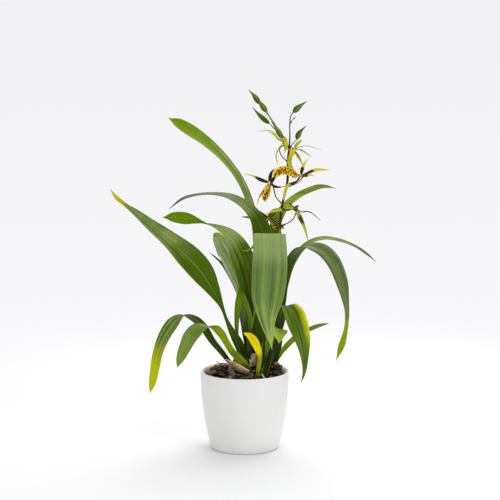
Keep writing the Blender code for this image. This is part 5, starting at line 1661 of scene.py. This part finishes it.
tepal_back = tepal_back_material()
for name, bloom in BLOOMS.items():
    start, end, striped, tip, cap, ground, spot_size = BLOOM_LOOKS[name]
    centre, face, stalk = bloom_place(name)
    tepal_skin = tepal_material(name, start, end, striped, tip)
    petals = []
    for number, (bends, turn) in enumerate(zip(bloom["tepals"], bloom["turns"])):
        petal_name = "%s_tepal_%d" % (name, number + 1)
        widths = bloom["widths"].get(number, TEPAL_WIDTHS)
        petals.append(tepal_piece(petal_name, centre, face, bends, turn, widths))
        skin = tepal_back if number in bloom.get("backs", ()) else tepal_skin
        if number in bloom.get("patches", {}):
            skin = tepal_material("%s_%d" % (name, number + 1), *bloom["patches"][number], striped, tip)
        petals[-1].data.materials.append(skin)
    column = column_piece(name, centre, face)
    column.data.materials.append(column_material(name, cap))
    flower = join_pieces(petals + [column], name + "_open")
    lip = lip_piece(name, centre, face, bloom["lip"], bloom["lip_roll"])
    lip.data.materials.append(lip_material(name, ground, spot_size))
    for piece, part, slot in ((flower, "_tepals", "tepal"), (lip, "_lip", "lip")):
        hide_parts(name + part)
        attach(piece, "root")


# Floor, light and camera: a plain pale floor that fades into the white around it, soft boxes above and
# behind, at the right and at the front left, and the camera a little above the middle of the plant.

FLOOR_SIZE = 6.0
FLOOR_BELOW = 0.2 * MM
FLOOR_COLOUR = (0.865, 0.865, 0.875, 1)
FLOOR_FADE = (0.25, 1.4)
ROOM_LIGHT = 0.62
WHITE_LOW = (0.955, 0.955, 0.975, 1)
WHITE_HIGH = (0.885, 0.872, 0.890, 1)
# Each soft box: its place, the spot that it points at, its width and height, and its power in watts.
SOFT_BOXES = {
    "soft box above": ((0.28, 0.85, 1.85), (0, 0, 0.2), (1.8, 1.8), 28),
    "soft box right": ((1.5, -1.5, 1.2), (0, 0, 0.3), (1.0, 1.2), 11),
    "soft box front": ((-1.0, -2.2, 1.5), (0, 0, 0.3), (1.2, 1.2), 8),
}
LENS = 100
SENSOR = 36
CAMERA_PLACE = (0.0083, -2.160, 0.580)
CAMERA_PITCH = 7.0


def pale_floor():
    """Lay the floor as a large sheet that fades out with distance."""
    bpy.ops.object.select_all(action="DESELECT")
    bpy.ops.mesh.primitive_plane_add(size=FLOOR_SIZE, location=(0, 0, -FLOOR_BELOW))
    bpy.ops.object.transform_apply(location=True)
    floor = bpy.context.object
    floor.name = "pale_floor"
    material, tree, shader = new_shader("pale floor")
    distance = add_node(tree, "VectorMath", {0: place(tree)}, operation="LENGTH").outputs["Value"]
    tree.links.new(rest_of(tree, fade(tree, distance, *FLOOR_FADE)), shader.inputs["Alpha"])
    shader.inputs["Base Color"].default_value = FLOOR_COLOUR
    shader.inputs["Roughness"].default_value = 0.9
    floor.data.materials.append(material)


def soft_box(name, spot, aim, size, power):
    """Hang one soft box that points at a spot."""
    light = bpy.data.lights.new(name, "AREA")
    light.shape = "RECTANGLE"
    light.size, light.size_y = size
    light.energy = power
    lamp = bpy.data.objects.new(name, light)
    bpy.context.scene.collection.objects.link(lamp)
    lamp.location = spot
    lamp.rotation_euler = (Vector(aim) - Vector(spot)).to_track_quat("-Z", "Y").to_euler()


def white_room():
    """Fill the room with even light, and show the camera a white that is a little greyer higher up."""
    world = bpy.data.worlds.new("white room")
    bpy.context.scene.world = world
    world.use_nodes = True
    tree = world.node_tree
    tree.nodes.clear()
    fill = add_node(tree, "Background", {"Color": (1, 1, 1, 1), "Strength": ROOM_LIGHT})
    direction = add_node(tree, "SeparateXYZ", {0: add_node(tree, "TexCoord").outputs["Generated"]})
    shade = mix(tree, fade(tree, direction.outputs[2], -0.28, 0.08), WHITE_LOW, WHITE_HIGH)
    seen = add_node(tree, "Background", {"Color": shade, "Strength": 1.0})
    camera_ray = add_node(tree, "LightPath").outputs["Is Camera Ray"]
    both = add_node(tree, "MixShader", {0: camera_ray, 1: fill.outputs[0], 2: seen.outputs[0]})
    add_node(tree, "OutputWorld", {0: both.outputs[0]})


pale_floor()
white_room()
for name, box in SOFT_BOXES.items():
    soft_box(name, *box)

camera_data = bpy.data.cameras.new("camera")
camera_data.lens = LENS
camera_data.sensor_width = SENSOR
camera = bpy.data.objects.new("camera", camera_data)
bpy.context.scene.collection.objects.link(camera)
camera.location = CAMERA_PLACE
camera.rotation_euler = (math.radians(90 - CAMERA_PITCH), 0, 0)
bpy.context.scene.camera = camera
bpy.context.scene.view_settings.view_transform = "Standard"
